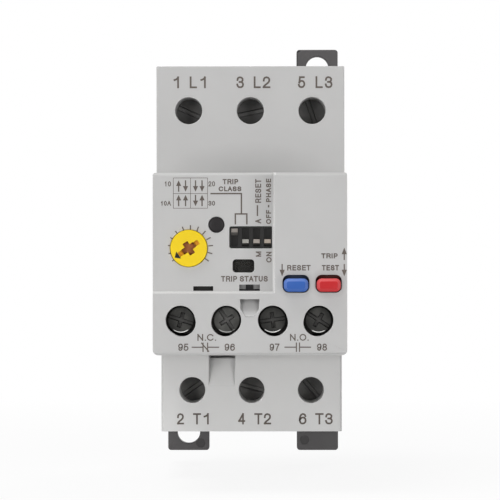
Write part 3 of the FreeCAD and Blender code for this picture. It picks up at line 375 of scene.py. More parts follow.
def metal(name, colour, stain, sheen, stretch=None, tint=None, bare=1.0):
    """A plated metal with streaks: stretched along an axis, or in rings from the from_axis attribute.

    sheen is the lowest and highest roughness, and bare is how far the metal shows through its coating,
    from 0 to 1.
    """
    material, tree, shader = new_material(name)
    marked = grouped(tree, marks)
    if stretch:
        streaks = tree.nodes.new("ShaderNodeMapping")
        streaks.inputs["Scale"].default_value = stretch
        tree.links.new(model_place(tree), streaks.inputs["Vector"])
    else:
        rings = tree.nodes.new("ShaderNodeAttribute")
        rings.attribute_name = "from_axis"
        streaks = tree.nodes.new("ShaderNodeCombineXYZ")
        tree.links.new(product(tree, rings.outputs["Fac"], ring_scale), streaks.inputs["X"])
    tree.links.new(streaks.outputs["Vector"], marked.inputs["Place"])
    paint = tinted(tree, mixed(tree, marked.outputs["Stain"], colour, stain), tint)
    tree.links.new(paint, shader.inputs["Base Color"])
    roughness = ranged(tree, marked.outputs["Streak"], 0.3, 0.7, *sheen)
    tree.links.new(roughness, shader.inputs["Roughness"])
    shader.inputs["Metallic"].default_value = bare
    bumped(tree, shader, marked.outputs["Streak"], streak_depth)
    return material


wire_steel = metal("drawn spring wire", (0.50, 0.50, 0.49), stain=(0.36, 0.35, 0.33), sheen=(0.25, 0.4),
                   stretch=(3000, 3000, 300))


def coil_spring(node, axis, turns, foot_low):
    """A wire spring in the box of a CAD spring, in place of the CAD spring."""
    low, high = np.array(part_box(node)) * 1000
    run = "XYZ".index(axis)
    radius = (high[0] - low[0] - spring_wire) / 2
    start, length = (low + high) / 2, high[run] - low[run]
    start[run] = low[run]
    mesh = spring_mesh(node.replace("spring", "coil"), start, axis, radius, length, turns)
    coil = placed(mesh, wire_steel, "root")
    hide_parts(node)
    anchor = start.copy()
    anchor[run] = low[run] if foot_low else high[run]
    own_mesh(coil)


coil_spring("rail_latch_spring", "Z", turns=9, foot_low=True)


# Main case: the deep grey box behind the load terminals, which carries the busbars and transformers.
# Flame-retardant polyamide, moulded with fine spark-eroded faces; the cover snaps on to its front.

case_edge = 0.0002
foot_level, cover_level = -45.0, -27.0
ramp_box = ((-7.28, 3.3), (-46.4, 1.58), (-30.2, 3.4))
ramp_foot, ramp_top, ramp_light = -33.5, -28.0, 0.75


def along(tree, axis):
    """The place of a surface point along X, Y or Z of the model, in millimetres."""
    split = tree.nodes.new("ShaderNodeSeparateXYZ")
    tree.links.new(model_place(tree), split.inputs[0])
    return product(tree, split.outputs[axis], 1000.0)


def in_box(tree, box):
    """A mask that is 1 inside a box, which is given by its middle and half size on each axis in mm."""
    mask = None
    for axis, (middle, half) in zip("XYZ", box):
        near = worked(tree, "COMPARE", along(tree, axis), middle)
        near.node.inputs[2].default_value = half
        mask = product(tree, mask, near) if mask else near
    return mask


def case_painted_shade(tree):
    """Painted shade under the cover's overhang, fading from the cover to the foot, and sooner on the ramp."""
    height = along(tree, "Z")
    painted_tone = ranged(tree, height, foot_level, cover_level)
    lit_ramp = ranged(tree, height, ramp_foot, ramp_top, ramp_light, 0.0)
    ramp_lit = product(tree, in_box(tree, ramp_box), lit_ramp)
    return product(tree, painted_tone, worked(tree, "SUBTRACT", 1.0, ramp_lit)), (0.50, 0.497, 0.491)


case_finish = dict(sheen=(0.46, 0.6), drift=0.02, pit_depth=1.2e-5, gloss=0.4, reach=0.0012)
# The case's grey is painted lighter than the cover's as light from below, and darker near the cover as shade.
case_plastic = plastic("light grey case plastic", (0.64, 0.637, 0.63), (0.76, 0.757, 0.75), **case_finish,
                       hollow_shade=(0.22, 0.218, 0.214), tint=case_painted_shade)
moulded("main_case", "root", case_plastic, case_edge)


# Line terminal housing: the grey block above the cover, with three screwdriver holes and three wire holes.
# The same grey polyamide, moulded as its own piece and slid on to the case.

corner_middle, corner_spread, corner_strength = (0, 0, 18), (1 / 20, 0, 1 / 8), 0.6


def from_line(tree, centre, flatten):
    """The distance in mm from a line through centre; flatten is 0 along the line and scales it across."""
    offset = tree.nodes.new("ShaderNodeMapping")
    offset.inputs["Location"].default_value = [-flat * place for flat, place in zip(flatten, centre)]
    offset.inputs["Scale"].default_value = [1000 * flat for flat in flatten]
    tree.links.new(model_place(tree), offset.inputs["Vector"])
    reach = tree.nodes.new("ShaderNodeVectorMath")
    reach.operation = "LENGTH"
    tree.links.new(offset.outputs["Vector"], reach.inputs[0])
    return reach.outputs["Value"]


def corner_painted_shade(tree):
    """Painted shade in the corner above the cover: darkest in the middle, and fading sideways and upwards."""
    reach = from_line(tree, corner_middle, corner_spread)
    return ranged(tree, reach, 0.0, 1.0, corner_strength, 0.0), (0.30, 0.298, 0.294)


grey_plastic = plastic("light grey housing plastic", (0.485, 0.482, 0.478), (0.74, 0.737, 0.73),
                       **case_finish, hollow_shade=(0.10, 0.099, 0.097), tint=corner_painted_shade)
moulded("line_terminal_housing", "root", grey_plastic, case_edge)


# Busbars, cores and coils: a tinned copper bar runs through each pole and its current transformer.
# The cores are stacks of silicon steel sheets, and the coils are enamelled wire on their rear legs.

band_rate, crest_height = 20, 0.3


def striped(name, direction, crest, valley, pitch, sheen):
    """Stacked sheets or layered wires: even bands of a pitch in mm along an axis, with raised crests.

    At scale 1 the wave's angle grows by the band rate in each metre, so the scale is a full turn divided
    by the rate and the pitch. The crests rise by a share of the pitch.
    """
    material, tree, shader = new_material(name)
    bands = tree.nodes.new("ShaderNodeTexWave")
    bands.bands_direction = direction
    bands.inputs["Scale"].default_value = 2 * pi / (band_rate * pitch / 1000)
    bands.inputs["Distortion"].default_value = 0.3
    height = bands.outputs["Fac"]
    tree.links.new(model_place(tree), bands.inputs["Vector"])
    tree.links.new(mixed(tree, height, valley, crest), shader.inputs["Base Color"])
    tree.links.new(ranged(tree, height, 0.0, 1.0, *sheen), shader.inputs["Roughness"])
    shader.inputs["Metallic"].default_value = 1.0
    bumped(tree, shader, height, crest_height * pitch / 1000)
    return material


def finish_node(material, *nodes):
    """Give CAD nodes that keep their own shape a material."""
    for node in nodes:
        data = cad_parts[node].data
        data.materials.clear()
        data.materials.append(material)


copper = metal("tinned copper strip", (0.70, 0.36, 0.21), stain=(0.58, 0.54, 0.50), sheen=(0.25, 0.45),
               stretch=(2500, 2500, 120))
core_steel = striped("stacked core sheets", "Z", crest=(0.24, 0.24, 0.25), valley=(0.10, 0.09, 0.08),
                     pitch=0.5, sheen=(0.6, 0.4))
enamelled = dict(crest=(0.52, 0.17, 0.06), valley=(0.20, 0.05, 0.02), pitch=0.3, sheen=(0.45, 0.25))
finish_node(copper, "busbar_1", "busbar_2", "busbar_3")
finish_node(core_steel, "transformer_core_1", "transformer_core_2", "transformer_core_3")
finish_node(striped("enamelled coil wire", "X", **enamelled), "transformer_coils")


# Main terminals: a rising cage of bent steel and a captive screw with a slotted head.
# The cage is zinc-iron plated; the blackened screw turns in the block and draws the cage up on the wire.

cage_edge, screw_edge = 0.0002, 0.00015
slot_rim, slot_pale = 0.12, 2.2


def toned(level, *cast):
    """A colour of the given level, with its red, green and blue as shares of it."""
    return tuple(share * level for share in cast)


def slot_painted_light(node, grey):
    """The slot painted paler as light in its shade: all further back than the rim of the screw's head."""
    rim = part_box(node)[0][1] * 1000 + slot_rim

    def zone(tree):
        return ranged(tree, along(tree, "Y"), rim, rim + slot_rim), toned(grey, 1, 0.98, 0.95)
    return zone


cage_steel = metal("plated cage steel", (0.50, 0.49, 0.46), stain=(0.38, 0.36, 0.32), sheen=(0.3, 0.5),
                   stretch=(300, 300, 3000))
for side, turns, dark in (("line", (24, -12, 71), 0.072), ("load", (-35, 15, 50), 0.092)):
    black_steel = metal(f"blackened {side} screw steel", toned(dark, 1, 0.98, 0.96),
                        stain=toned(dark, 1.4, 1.36, 1.3), sheen=(0.4, 0.6), bare=0.3,
                        tint=slot_painted_light(f"{side}_screw_1", slot_pale * dark))
    for number, turn in enumerate(turns, 1):
        cage, screw = f"{side}_cage_{number}", f"{side}_screw_{number}"
        moulded(cage, cage, cage_steel, cage_edge)
        moulded(screw, screw, black_steel, screw_edge, turn=turn)


# Chassis and trip magnet: a black frame snapped into the cover holds the coil, its yoke and the plunger.
# Glass-filled plastic; the coil is enamelled wire, the yoke punched steel and the plunger turned steel.

black_plastic = plastic("black chassis plastic", (0.022, 0.022, 0.023), (0.05, 0.05, 0.05),
                        sheen=(0.45, 0.6), drift=0.1, pit_depth=8e-6, gloss=0.3)
finish_node(black_plastic, "mechanism_frame")
finish_node(striped("trip coil wire", "Y", **enamelled), "trip_coil")
yoke_steel = metal("zinc plated yoke", (0.46, 0.46, 0.45), stain=(0.34, 0.33, 0.31), sheen=(0.3, 0.45),
                   stretch=(300, 3000, 300))
finish_node(yoke_steel, "trip_yoke", "trip_plunger", "lever_pin")


# Trip lever: a bell crank on a steel pin whose front plate rises into the window after a trip.
# Black plastic; only the upper band of the front plate is painted orange.

pivot_y, pivot_z = -66.0, -4.0
flag_radius, flag_edge, flag_fade = 18.2, -7.85, 0.05


def flag_zone(tree):
    """The orange band: further from the pivot than the flag radius and above the band's lower edge."""
    reach = from_line(tree, (0, pivot_y, pivot_z), (0, 1, 1))
    beyond = ranged(tree, reach, flag_radius, flag_radius + 2 * flag_fade)
    above = ranged(tree, along(tree, "Z"), flag_edge, flag_edge + flag_fade)
    return product(tree, beyond, above), (0.92, 0.26, 0.02)


lever_plastic = plastic("lever with orange flag", (0.03, 0.03, 0.03), (0.05, 0.05, 0.05), sheen=(0.4, 0.5),
                        drift=0.06, pit_depth=4e-6, gloss=0.4, tint=flag_zone)
finish_node(lever_plastic, "trip_lever")


# Contacts: a sliding black carrier with two sprung bridges, and the fixed strips to the aux terminals.
# The carrier is moulded, and bridges and strips are punched from tinned copper.

finish_node(black_plastic, "contact_carrier")
finish_node(copper, "nc_bridge", "no_bridge", "aux_contact_strips")
finish_node(wire_steel, "contact_springs")


# Circuit board: green laminate behind the cover with the controller, trimmer, switch block and diode.
# Tracks show as raised lines under the solder mask; the parts are moulded epoxy and plastic.

track_depth = 2e-5
board_green, board_tree, board_shader = new_material("board with solder mask")
tracks = board_tree.nodes.new("ShaderNodeTexBrick")
for label, value in (("Scale", 1.0), ("Mortar Size", 0.00018), ("Brick Width", 0.0042),
                     ("Row Height", 0.0013), ("Color1", (0.012, 0.085, 0.032, 1)),
                     ("Color2", (0.016, 0.105, 0.040, 1)), ("Mortar", (0.045, 0.20, 0.075, 1))):
    tracks.inputs[label].default_value = value
board_turn = board_tree.nodes.new("ShaderNodeMapping")
board_turn.inputs["Rotation"].default_value = (radians(90), 0, 0)
board_sheen = ranged(board_tree, tracks.outputs["Fac"], 0.0, 1.0, 0.36, 0.28)
board_tree.links.new(model_place(board_tree), board_turn.inputs["Vector"])
board_tree.links.new(board_turn.outputs["Vector"], tracks.inputs["Vector"])
board_tree.links.new(tracks.outputs["Color"], board_shader.inputs["Base Color"])
board_tree.links.new(board_sheen, board_shader.inputs["Roughness"])
bumped(board_tree, board_shader, tracks.outputs["Fac"], track_depth)
finish_node(board_green, "control_board")
chip_epoxy = plastic("chip epoxy", (0.018, 0.018, 0.018), (0.04, 0.04, 0.04), sheen=(0.5, 0.65), drift=0.1,
                     pit_depth=4e-6, gloss=0.3)
finish_node(chip_epoxy, "board_components")
trimmer_plastic = plastic("trimmer plastic", (0.03, 0.06, 0.16), (0.06, 0.1, 0.2), sheen=(0.35, 0.5),
                          drift=0.06, pit_depth=4e-6)
finish_node(trimmer_plastic, "potentiometer")
diode_epoxy = plastic("green diode epoxy", (0.05, 0.26, 0.06), (0.08, 0.3, 0.1), sheen=(0.1, 0.2),
                      drift=0.05, pit_depth=1e-6)
finish_node(diode_epoxy, "status_led")


# Auxiliary terminals: four screws with combined slot and cross heads over saddle clamps.
# Blackened steel; a bright crescent on the lower rim of each head is a painted highlight.

aux_edge, cross_pale = 0.00012, 1.5
rim_inner, rim_outer, rim_fade, level_fade = 2.74, 2.92, 0.05, 0.3


def larger(tree, first, second):
    """The larger of two values."""
    return worked(tree, "MAXIMUM", first, second)


def middle_of(node):
    """The middle of a CAD node's box, in millimetres."""
    return np.mean(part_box(node), axis=0) * 1000


def head_painted_light(node, level, glint_grey, grey):
    """The painted highlight on a screw's head, and its slot and cross painted paler as light.

    The crescent is a ring of the head's rim, cut off above a level below its axis.
    """
    centre = middle_of(node)
    slot_light = slot_painted_light(node, grey)

    def zone(tree):
        reach = from_line(tree, centre, (1, 0, 1))
        ring = product(tree, ranged(tree, reach, rim_inner - rim_fade, rim_inner + rim_fade),
                       ranged(tree, reach, rim_outer + rim_fade, rim_outer - rim_fade))
        low = ranged(tree, along(tree, "Z"), centre[2] + level, centre[2] + level - level_fade)
        crescent_glint = product(tree, ring, low)
        deep, painted_tone = slot_light(tree)
        within = ranged(tree, reach, rim_inner - 2 * rim_fade, rim_inner - 4 * rim_fade)
        slot = product(tree, deep, within)
        return larger(tree, crescent_glint, slot), mixed(tree, crescent_glint, painted_tone, toned(glint_grey, 1, 1, 0.98))
    return zone


# The clamps are painted near black, as the shade round each head in its hole.
shaded_clamp_steel = metal("clamp steel", (0.030, 0.029, 0.028), stain=(0.045, 0.043, 0.040), sheen=(0.35, 0.5),
                    stretch=(300, 300, 3000))
for number, turn, dark, level, glint_grey in ((95, 18, 0.031, -2.1, 0.80), (96, 57, 0.052, -2.0, 0.45),
                                          (97, -8, 0.031, -2.0, 0.86), (98, 33, 0.031, -2.25, 0.86)):
    screw, clamp = f"aux_screw_{number}", f"aux_clamp_{number}"
    head_steel = metal(f"dark screw steel {number}", toned(dark, 1, 1, 0.95),
                       stain=toned(dark, 1.5, 1.48, 1.4), sheen=(0.4, 0.6),
                       tint=head_painted_light(screw, level, glint_grey, cross_pale * dark))
    moulded(screw, screw, head_steel, aux_edge, turn=turn)
    moulded(clamp, clamp, shaded_clamp_steel, aux_edge)


# Front cover: the stepped grey front with the setting panel, the button holes and the auxiliary terminals.
# One moulding, held by snap hooks, with a thin chamfer along its top and bottom edges.
# A smoked clear pane is welded behind the trip window, and a black plate behind the left slot is painted
# shade.

cover_edge, slot_corners = 0.00015, (-24, 7, -10.6, -7.4)
ledge_box = ((-0.1, 2.5), (-86.9, 0.3), (-8.65, 0.85))
scoop_box = ((0.0, 2.6), (-87.0, 1.4), (-13.3, 2.1))
bevel_box = ((-8.25, 14.3), (-88.1, 0.36), (3.9, 14.2))
panel_box = ((-8.6, 13.9), (-87.7, 0.2), (4.25, 13.75))
scoop_front, scoop_back, scoop_strength = -87.8, -86.0, 0.35
step_start, step_end, step_strength = -2.5, 5.3, 0.27
button_spread, ring_end, ring_strength = (1 / 3.3, 0, 1 / 2.4), 1.6, 0.2
plate_points, pane_scale = 32, 900
pane_centre, pane_half, pane_corner, pane_depth = (-1.5, -3.62), (2.75, 1.75), 0.9, (-86.28, -86.04)
slot_shade_centre, slot_shade_half, slot_shade_corner = (-10.83, -8.85), (2.9, 1.0), 0.2


def cover_painted_light(tree):
    """A painted highlight on the bevel of the panel, and painted shade on the rest of the cover.

    The shade lies on the ledges of the right slot, deep in the scoop, on the panel towards its step and
    round the buttons.
    """
    scoop = product(tree, in_box(tree, scoop_box),
                    ranged(tree, along(tree, "Y"), scoop_front, scoop_back, 0.0, scoop_strength))
    panel = product(tree, in_box(tree, panel_box),
                    ranged(tree, along(tree, "X"), step_start, step_end, 0.0, step_strength))
    bevel = in_box(tree, bevel_box)
    mask = bevel
    for node in ("reset_button", "test_button"):
        reach = from_line(tree, middle_of(node), button_spread)
        mask = larger(tree, mask, ranged(tree, reach, 1.0, ring_end, ring_strength, 0.0))
    for zone in (in_box(tree, ledge_box), scoop, panel):
        mask = larger(tree, mask, zone)
    return mask, mixed(tree, bevel, (0.13, 0.129, 0.127), (0.63, 0.626, 0.62))


cover_plastic = plastic("light grey cover plastic", (0.485, 0.482, 0.478), (0.78, 0.777, 0.77),
                        **case_finish, hollow_shade=(0.25, 0.248, 0.244), tint=cover_painted_light)
moulded("front_cover", "root", cover_plastic, cover_edge, crowded=slot_corners)


def rounded_plate(name, centre, half, corner, depth):
    """A plate with rounded corners: four quarter circles joined by straight sides, from face to face.

    The grid's rows run from the middle of the front face over both outlines to the middle of the back.
    """
    angle = np.linspace(0, 2 * pi, plate_points, endpoint=False) + pi / plate_points
    way = np.stack((np.cos(angle), np.sin(angle)), axis=-1)
    outline = np.array(centre) + np.sign(way) * (np.array(half) - corner) + corner * way
    middle = np.broadcast_to(centre, outline.shape)
    rows = [(middle, depth[0]), (outline, depth[0]), (outline, depth[1]), (middle, depth[1])]
    points = [np.column_stack((place[:, 0], np.full(len(place), y), place[:, 1])) for place, y in rows]
    return grid_mesh(name, np.stack(points) / 1000)


pane_glass, pane_tree, pane_shader = new_material("smoked clear pane")
pane_shader.inputs["Base Color"].default_value = (0.050, 0.048, 0.043, 1)
pane_shader.inputs["Alpha"].default_value = 0.25
pane_shader.inputs["Specular IOR Level"].default_value = 0.3
pane_haze = noise(pane_tree, pane_scale, 3.0, model_place(pane_tree))
pane_tree.links.new(ranged(pane_tree, pane_haze, 0.3, 0.7, 0.30, 0.45), pane_shader.inputs["Roughness"])
pane = rounded_plate("trip_window_pane", pane_centre, pane_half, pane_corner, pane_depth)
placed(pane, pane_glass, "root")
# The black plate behind the left slot is painted shade: a dark sheet where the slot lies in shade.
slot_shade_plastic = plastic("black slot shade plastic", (0.020, 0.0196, 0.0185), (0.022, 0.022, 0.022),
                          sheen=(0.45, 0.6), drift=0.06, pit_depth=4e-6, gloss=0.1)
slot_shade_plate = rounded_plate("left_slot_shade_plate", slot_shade_centre, slot_shade_half, slot_shade_corner, pane_depth)
placed(slot_shade_plate, slot_shade_plastic, "root")


# Dial: a yellow knob with a screwdriver slot and a deeper cross, turned to set the motor current.
# Moulded plastic, snapped in from behind; the slot is painted orange and the cross brown as shade.

dial_edge = 0.00008
slot_level, cross_level, recess_reach, recess_fade = -88.1, -87.2, 3.2, 0.1
dial_axis = middle_of("dial_knob")


def dial_recess_shade(tree):
    """Painted shade in the slot and, deeper and browner, in the cross: near the axis and below the face."""
    depth = along(tree, "Y")
    reach = from_line(tree, dial_axis, (1, 0, 1))
    near = ranged(tree, reach, recess_reach, recess_reach - recess_fade)
    cross = ranged(tree, depth, cross_level - recess_fade, cross_level)
    below = ranged(tree, depth, slot_level - recess_fade, slot_level)
    return product(tree, near, below), mixed(tree, cross, (0.74, 0.34, 0.018), (0.34, 0.128, 0.036))


dial_plastic = plastic("yellow dial plastic", (0.84, 0.60, 0.012), (0.86, 0.64, 0.03), sheen=(0.4, 0.5),
                       drift=0.03, pit_depth=4e-6, gloss=0.2, tint=dial_recess_shade)
moulded("dial_knob", "dial", dial_plastic, dial_edge)


# Slide switches: a black block of four, each with a pale slider that has a flat land above a slope.
# Moulded plastic, soldered to the board and flush with the panel.

switch_edge, slider_edge = 0.00008, 0.00005
channel_level, channel_fade = -86.1, 0.1
slope_start, slope_full = 0.25, 0.5


def channel_painted_light(tree):
    """The floors of the channels in which the sliders run, painted paler as light against their shade."""
    floors = ranged(tree, along(tree, "Y"), channel_level - channel_fade, channel_level)
    return floors, (0.035, 0.034, 0.033)


switch_plastic = plastic("black switch plastic", (0.015, 0.0145, 0.014), (0.02, 0.02, 0.02),
                         sheen=(0.5, 0.6), drift=0.05, pit_depth=4e-6, gloss=0.2, tint=channel_painted_light)
moulded("dip_switch_body", "root", switch_plastic, switch_edge)


def facing(tree, axis):
    """How far the surface faces along an axis: the dot product of its normal with that axis."""
    node = tree.nodes.new("ShaderNodeVectorMath")
    node.operation = "DOT_PRODUCT"
    node.inputs[1].default_value = axis
    tree.links.new(tree.nodes.new("ShaderNodeNewGeometry").outputs["Normal"], node.inputs[0])
    return node.outputs["Value"]


def slope_painted_shade(grey):
    """The sloping foot of a slider, which faces down and is painted dark as shade."""
    def zone(tree):
        downward = facing(tree, (0, 0, -1))
        return ranged(tree, downward, slope_start, slope_full), toned(grey, 1, 0.95, 0.88)
    return zone


# Slider 1 stands up at the window's top edge: its land is painted darker as shade, its slope paler as light.
for number, land, slope in ((1, (0.21, 0.19, 0.17), 0.10), (2, (0.31, 0.30, 0.275), 0.03),
                            (3, (0.31, 0.275, 0.245), 0.03), (4, (0.35, 0.295, 0.245), 0.03)):
    slider_plastic = plastic(f"slider plastic {number}", land, toned(1.1, *land), sheen=(0.4, 0.5),
                             drift=0.04, pit_depth=4e-6, gloss=0.3, tint=slope_painted_shade(slope))
    moulded(f"dip_slider_{number}", f"slider_{number}", slider_plastic, slider_edge)


# Status lens: a dark smoked light guide, slightly domed, with a small gate mark in its middle.
# Clear tinted plastic, pressed in from behind and held by its collar.

collar_width, collar_depth = 0.6, 0.6
lens_plastic = plastic("smoked lens plastic", (0.011, 0.009, 0.010), (0.02, 0.02, 0.02), sheen=(0.35, 0.5),
                       drift=0.2, pit_depth=2e-6, gloss=0.2)
lens_low, lens_high = np.array(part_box("status_lens")) * 1000
lens_centre = (lens_low + lens_high)[[0, 2]] / 2
lens_front, lens_back, collar_radius = lens_low[1], lens_high[1], (lens_high[0] - lens_low[0]) / 2
lens_radius, collar_front = collar_radius - collar_width, lens_back - collar_depth
lens_share = np.array([0, 0.09, 0.12, 0.27, 0.5, 0.66, 0.82, 0.93, 0.985, 1, 1])
lens_sink = np.array([0.07, 0.07, 0.02, 0.01, 0.015, 0.03, 0.06, 0.11, 0.18, 0.28,
                      collar_front - lens_front])
lens_profile = np.vstack((np.column_stack((lens_share * lens_radius, lens_front + lens_sink)),
                          [(collar_radius, collar_front), (collar_radius, lens_back), (0, lens_back)]))
lens_dome = revolved("status_lens_dome", lens_centre, lens_profile)
lens_piece = placed(lens_dome, lens_plastic, "root")
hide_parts("status_lens")


# Buttons: a blue reset button and a red test button, each on a stem with a coil spring behind the cover.
# Moulded plastic with a wide bevel round a flat face, paler as a painted highlight; a collar stops each
# behind its hole.

button_edge = 0.00012
shade_level, shade_fade = -88.7, 0.4
bevel_flat, bevel_steep, bevel_under, under_share = (0.95, 0.85), (0.3, 0.5), (-0.6, -0.2), 0.25


def button_painted_light(highlight_colour, shade_colour):
    """The painted highlight on the bevel near the front, and painted shade on the cap down in its hole."""
    def zone(tree):
        ahead, upward = facing(tree, (0, -1, 0)), facing(tree, (0, 0, 1))
        rim = product(tree, ranged(tree, ahead, *bevel_flat), ranged(tree, ahead, *bevel_steep))
        rim = product(tree, rim, ranged(tree, upward, *bevel_under, under_share, 1.0))
        deep = ranged(tree, along(tree, "Y"), shade_level - shade_fade, shade_level)
        return larger(tree, rim, deep), mixed(tree, deep, highlight_colour, shade_colour)
    return zone


button_finish = dict(sheen=(0.3, 0.4), drift=0.03, pit_depth=4e-6, gloss=0.15)
blue_plastic = plastic("blue button plastic", (0.036, 0.112, 0.40), (0.12, 0.21, 0.48), **button_finish,
                       tint=button_painted_light((0.10, 0.19, 0.52), (0.013, 0.023, 0.050)))
moulded("reset_button", "reset", blue_plastic, button_edge)
red_plastic = plastic("red button plastic", (0.50, 0.022, 0.026), (0.62, 0.10, 0.10), **button_finish,
                      tint=button_painted_light((0.66, 0.085, 0.09), (0.11, 0.018, 0.013)))
moulded("test_button", "test", red_plastic, button_edge)
coil_spring("reset_spring", "Y", turns=6, foot_low=False)
coil_spring("test_spring", "Y", turns=5, foot_low=False)


# Printing: terminal numbers and the legends of the dial, switches and buttons, pad printed in brown-grey
# ink, and the dial's arrow in black.
# Each letter and stroke lies on its face as a film a few hundredths of a millimetre thick.

film, sunk, hair, hair_steps, sharp_turn = 0.03, 0.01, 0.0008, 5, 0.3
line_face, load_face, panel_face, cover_face, dial_face = -72.5, -48.0, -87.7, -88.5, -88.3
big_stroke, line_stroke, tick_stroke = 0.43, 0.33, 0.27
small_stroke, class_stroke, thin_stroke = 0.265, 0.2, 0.11
ink_finish = dict(sheen=(0.5, 0.6), pit_depth=2e-6, gloss=0.2)
ink = plastic("print ink", (0.115, 0.095, 0.083), (0.13, 0.11, 0.10), drift=0.15, **ink_finish)
black_ink = plastic("black print ink", (0.010, 0.009, 0.008), (0.02, 0.02, 0.02), drift=0.1, **ink_finish)


def bow(x, z, wide, high, start, end, steps=12):
    """Points on an ellipse about (x, z) from one angle to another, in degrees."""
    angle = np.radians(np.linspace(start, end, steps))
    return [tuple(row) for row in np.column_stack((x + wide * np.cos(angle), z + high * np.sin(angle)))]


# Letter strokes: the middle line of each stroke in a unit box, with the letter's left, right and advance
# in thousandths of the body.
oval = bow(0.5, 0.5, 0.5, 0.5, 0, 360, 29)
six = [(0.95, 0.78), (0.88, 0.91), (0.72, 0.98), (0.52, 1), (0.30, 0.95), (0.12, 0.79), (0.02, 0.52),
       (0.02, 0.30), (0.10, 0.12), (0.26, 0.02), (0.50, 0), (0.76, 0.04), (0.95, 0.17), (1, 0.32),
       (0.95, 0.48), (0.78, 0.60), (0.52, 0.64), (0.27, 0.59), (0.10, 0.47), (0.03, 0.36)]
letters = {
    "A": ([[(0, 0), (0.5, 1), (1, 0)], [(0.19, 0.36), (0.81, 0.36)]], 14, 654, 667),
    "C": ([[(0.5 + (x - 0.5) * 1.12, z) for x, z in bow(0.5, 0.5, 0.5, 0.5, 36, 324, 22)]], 44, 681, 722),
    "E": ([[(1, 1), (0, 1), (0, 0), (1, 0)], [(0, 0.53), (0.93, 0.53)]], 86, 616, 667),
    "F": ([[(1, 1), (0, 1), (0, 0)], [(0, 0.50), (0.88, 0.50)]], 86, 583, 611),
    "H": ([[(0, 0), (0, 1)], [(1, 0), (1, 1)], [(0, 0.53), (1, 0.53)]], 77, 646, 722),
    "I": ([[(0.5, 0), (0.5, 1)]], 91, 188, 278),
    "L": ([[(0, 1), (0, 0), (1, 0)]], 76, 537, 556),
    "M": ([[(0, 0), (0, 1), (0.5, 0.04), (1, 1), (1, 0)]], 73, 761, 833),
    "N": ([[(0, 0), (0, 1), (1, 0), (1, 1)]], 76, 646, 722),
    "O": ([oval], 39, 739, 778),
    "P": ([[(0, 0), (0, 1)] + bow(0.62, 0.72, 0.38, 0.28, 90, -90) + [(0, 0.44)]], 86, 622, 667),
    "R": ([[(0, 0), (0, 1)] + bow(0.62, 0.74, 0.36, 0.26, 90, -90) + [(0, 0.48)],
           [(0.60, 0.48), (0.84, 0.38), (0.91, 0.20), (1, 0)]], 88, 684, 722),
    "S": ([[(0.95, 0.72), (0.90, 0.88), (0.73, 0.97), (0.49, 1), (0.24, 0.97), (0.07, 0.86), (0.04, 0.73),
            (0.12, 0.61), (0.35, 0.54), (0.66, 0.47), (0.90, 0.39), (1, 0.26), (0.94, 0.11), (0.76, 0.02),
            (0.50, 0), (0.24, 0.03), (0.06, 0.14), (0, 0.30)]], 49, 620, 667),
    "T": ([[(0, 1), (1, 1)], [(0.5, 0), (0.5, 1)]], 14, 597, 611),
    "U": ([[(0, 1)] + bow(0.5, 0.36, 0.5, 0.36, 180, 360) + [(1, 1)]], 79, 644, 722),
    "0": ([oval], 37, 519, 556),
    "1": ([[(0, 0.74), (0.45, 0.79), (0.80, 0.89), (1, 1), (1, 0)]], 101, 359, 556),
    "2": ([[(0.02, 0.66), (0.05, 0.82), (0.20, 0.95), (0.48, 1), (0.78, 0.95), (0.95, 0.82), (0.97, 0.69),
            (0.90, 0.55), (0.68, 0.41), (0.33, 0.25), (0.10, 0.12), (0, 0), (1, 0)]], 26, 507, 556),
    "3": ([[(0.03, 0.73), (0.09, 0.89), (0.26, 0.98), (0.48, 1), (0.74, 0.96), (0.91, 0.85), (0.92, 0.72),
            (0.84, 0.60), (0.68, 0.54), (0.40, 0.53)],
           [(0.40, 0.53), (0.72, 0.52), (0.93, 0.42), (1, 0.28), (0.93, 0.12), (0.74, 0.02), (0.48, 0),
            (0.22, 0.03), (0.06, 0.14), (0, 0.28)]], 34, 522, 556),
    "4": ([[(0.76, 0), (0.76, 1), (0, 0.26), (1, 0.26)]], 25, 523, 556),
    "5": ([[(0.90, 1), (0.20, 1), (0.09, 0.47), (0.27, 0.60), (0.50, 0.64), (0.76, 0.60), (0.94, 0.48),
            (1, 0.32), (0.94, 0.16), (0.76, 0.04), (0.48, 0), (0.22, 0.03), (0.06, 0.13), (0, 0.25)]],
          32, 514, 556),
    "6": ([six], 38, 518, 556),
    "7": ([[(0, 1), (1, 1), (0.66, 0.62), (0.44, 0.30), (0.35, 0)]], 37, 523, 556),
    "8": ([bow(0.5, 0.765, 0.43, 0.235, 0, 360, 25), bow(0.5, 0.265, 0.5, 0.265, 0, 360, 25)],
          38, 517, 556),
    "9": ([[(1 - x, 1 - z) for x, z in six]], 42, 514, 556),
    ".": ([[(0.5, 0), (0.5, 0.01)]], 87, 191, 278),
    " ": ([], 0, 0, 278)}


def word(text, stroke, left, right, low, high, turned=False):
    """The stroke lines of a word stretched into its box, as a list of (x, z) point rows.

    The letters stand side by side by their advances; a turned word reads upwards, its height along x.
    """
    rows, pen = [], 0.0
    for letter in text:
        paths, start, end, advance = letters[letter]
        rows += [(np.array(path), pen + start, pen + end) for path in paths]
        pen += advance
    first, last = min(start for _, start, _ in rows), max(end for _, _, end in rows)
    wide, tall = (high - low, right - left) if turned else (right - left, high - low)
    scale = wide / (last - first)
    lines = []
    for path, start, end in rows:
        room = max((end - start) * scale - stroke, 0.0)
        x = ((start + end) / 2 - first) * scale + (path[:, 0] - 0.5) * room
        z = stroke / 2 + path[:, 1] * (tall - stroke)
        lines.append(np.column_stack((right - z, low + x) if turned else (left + x, low + z)))
    return lines


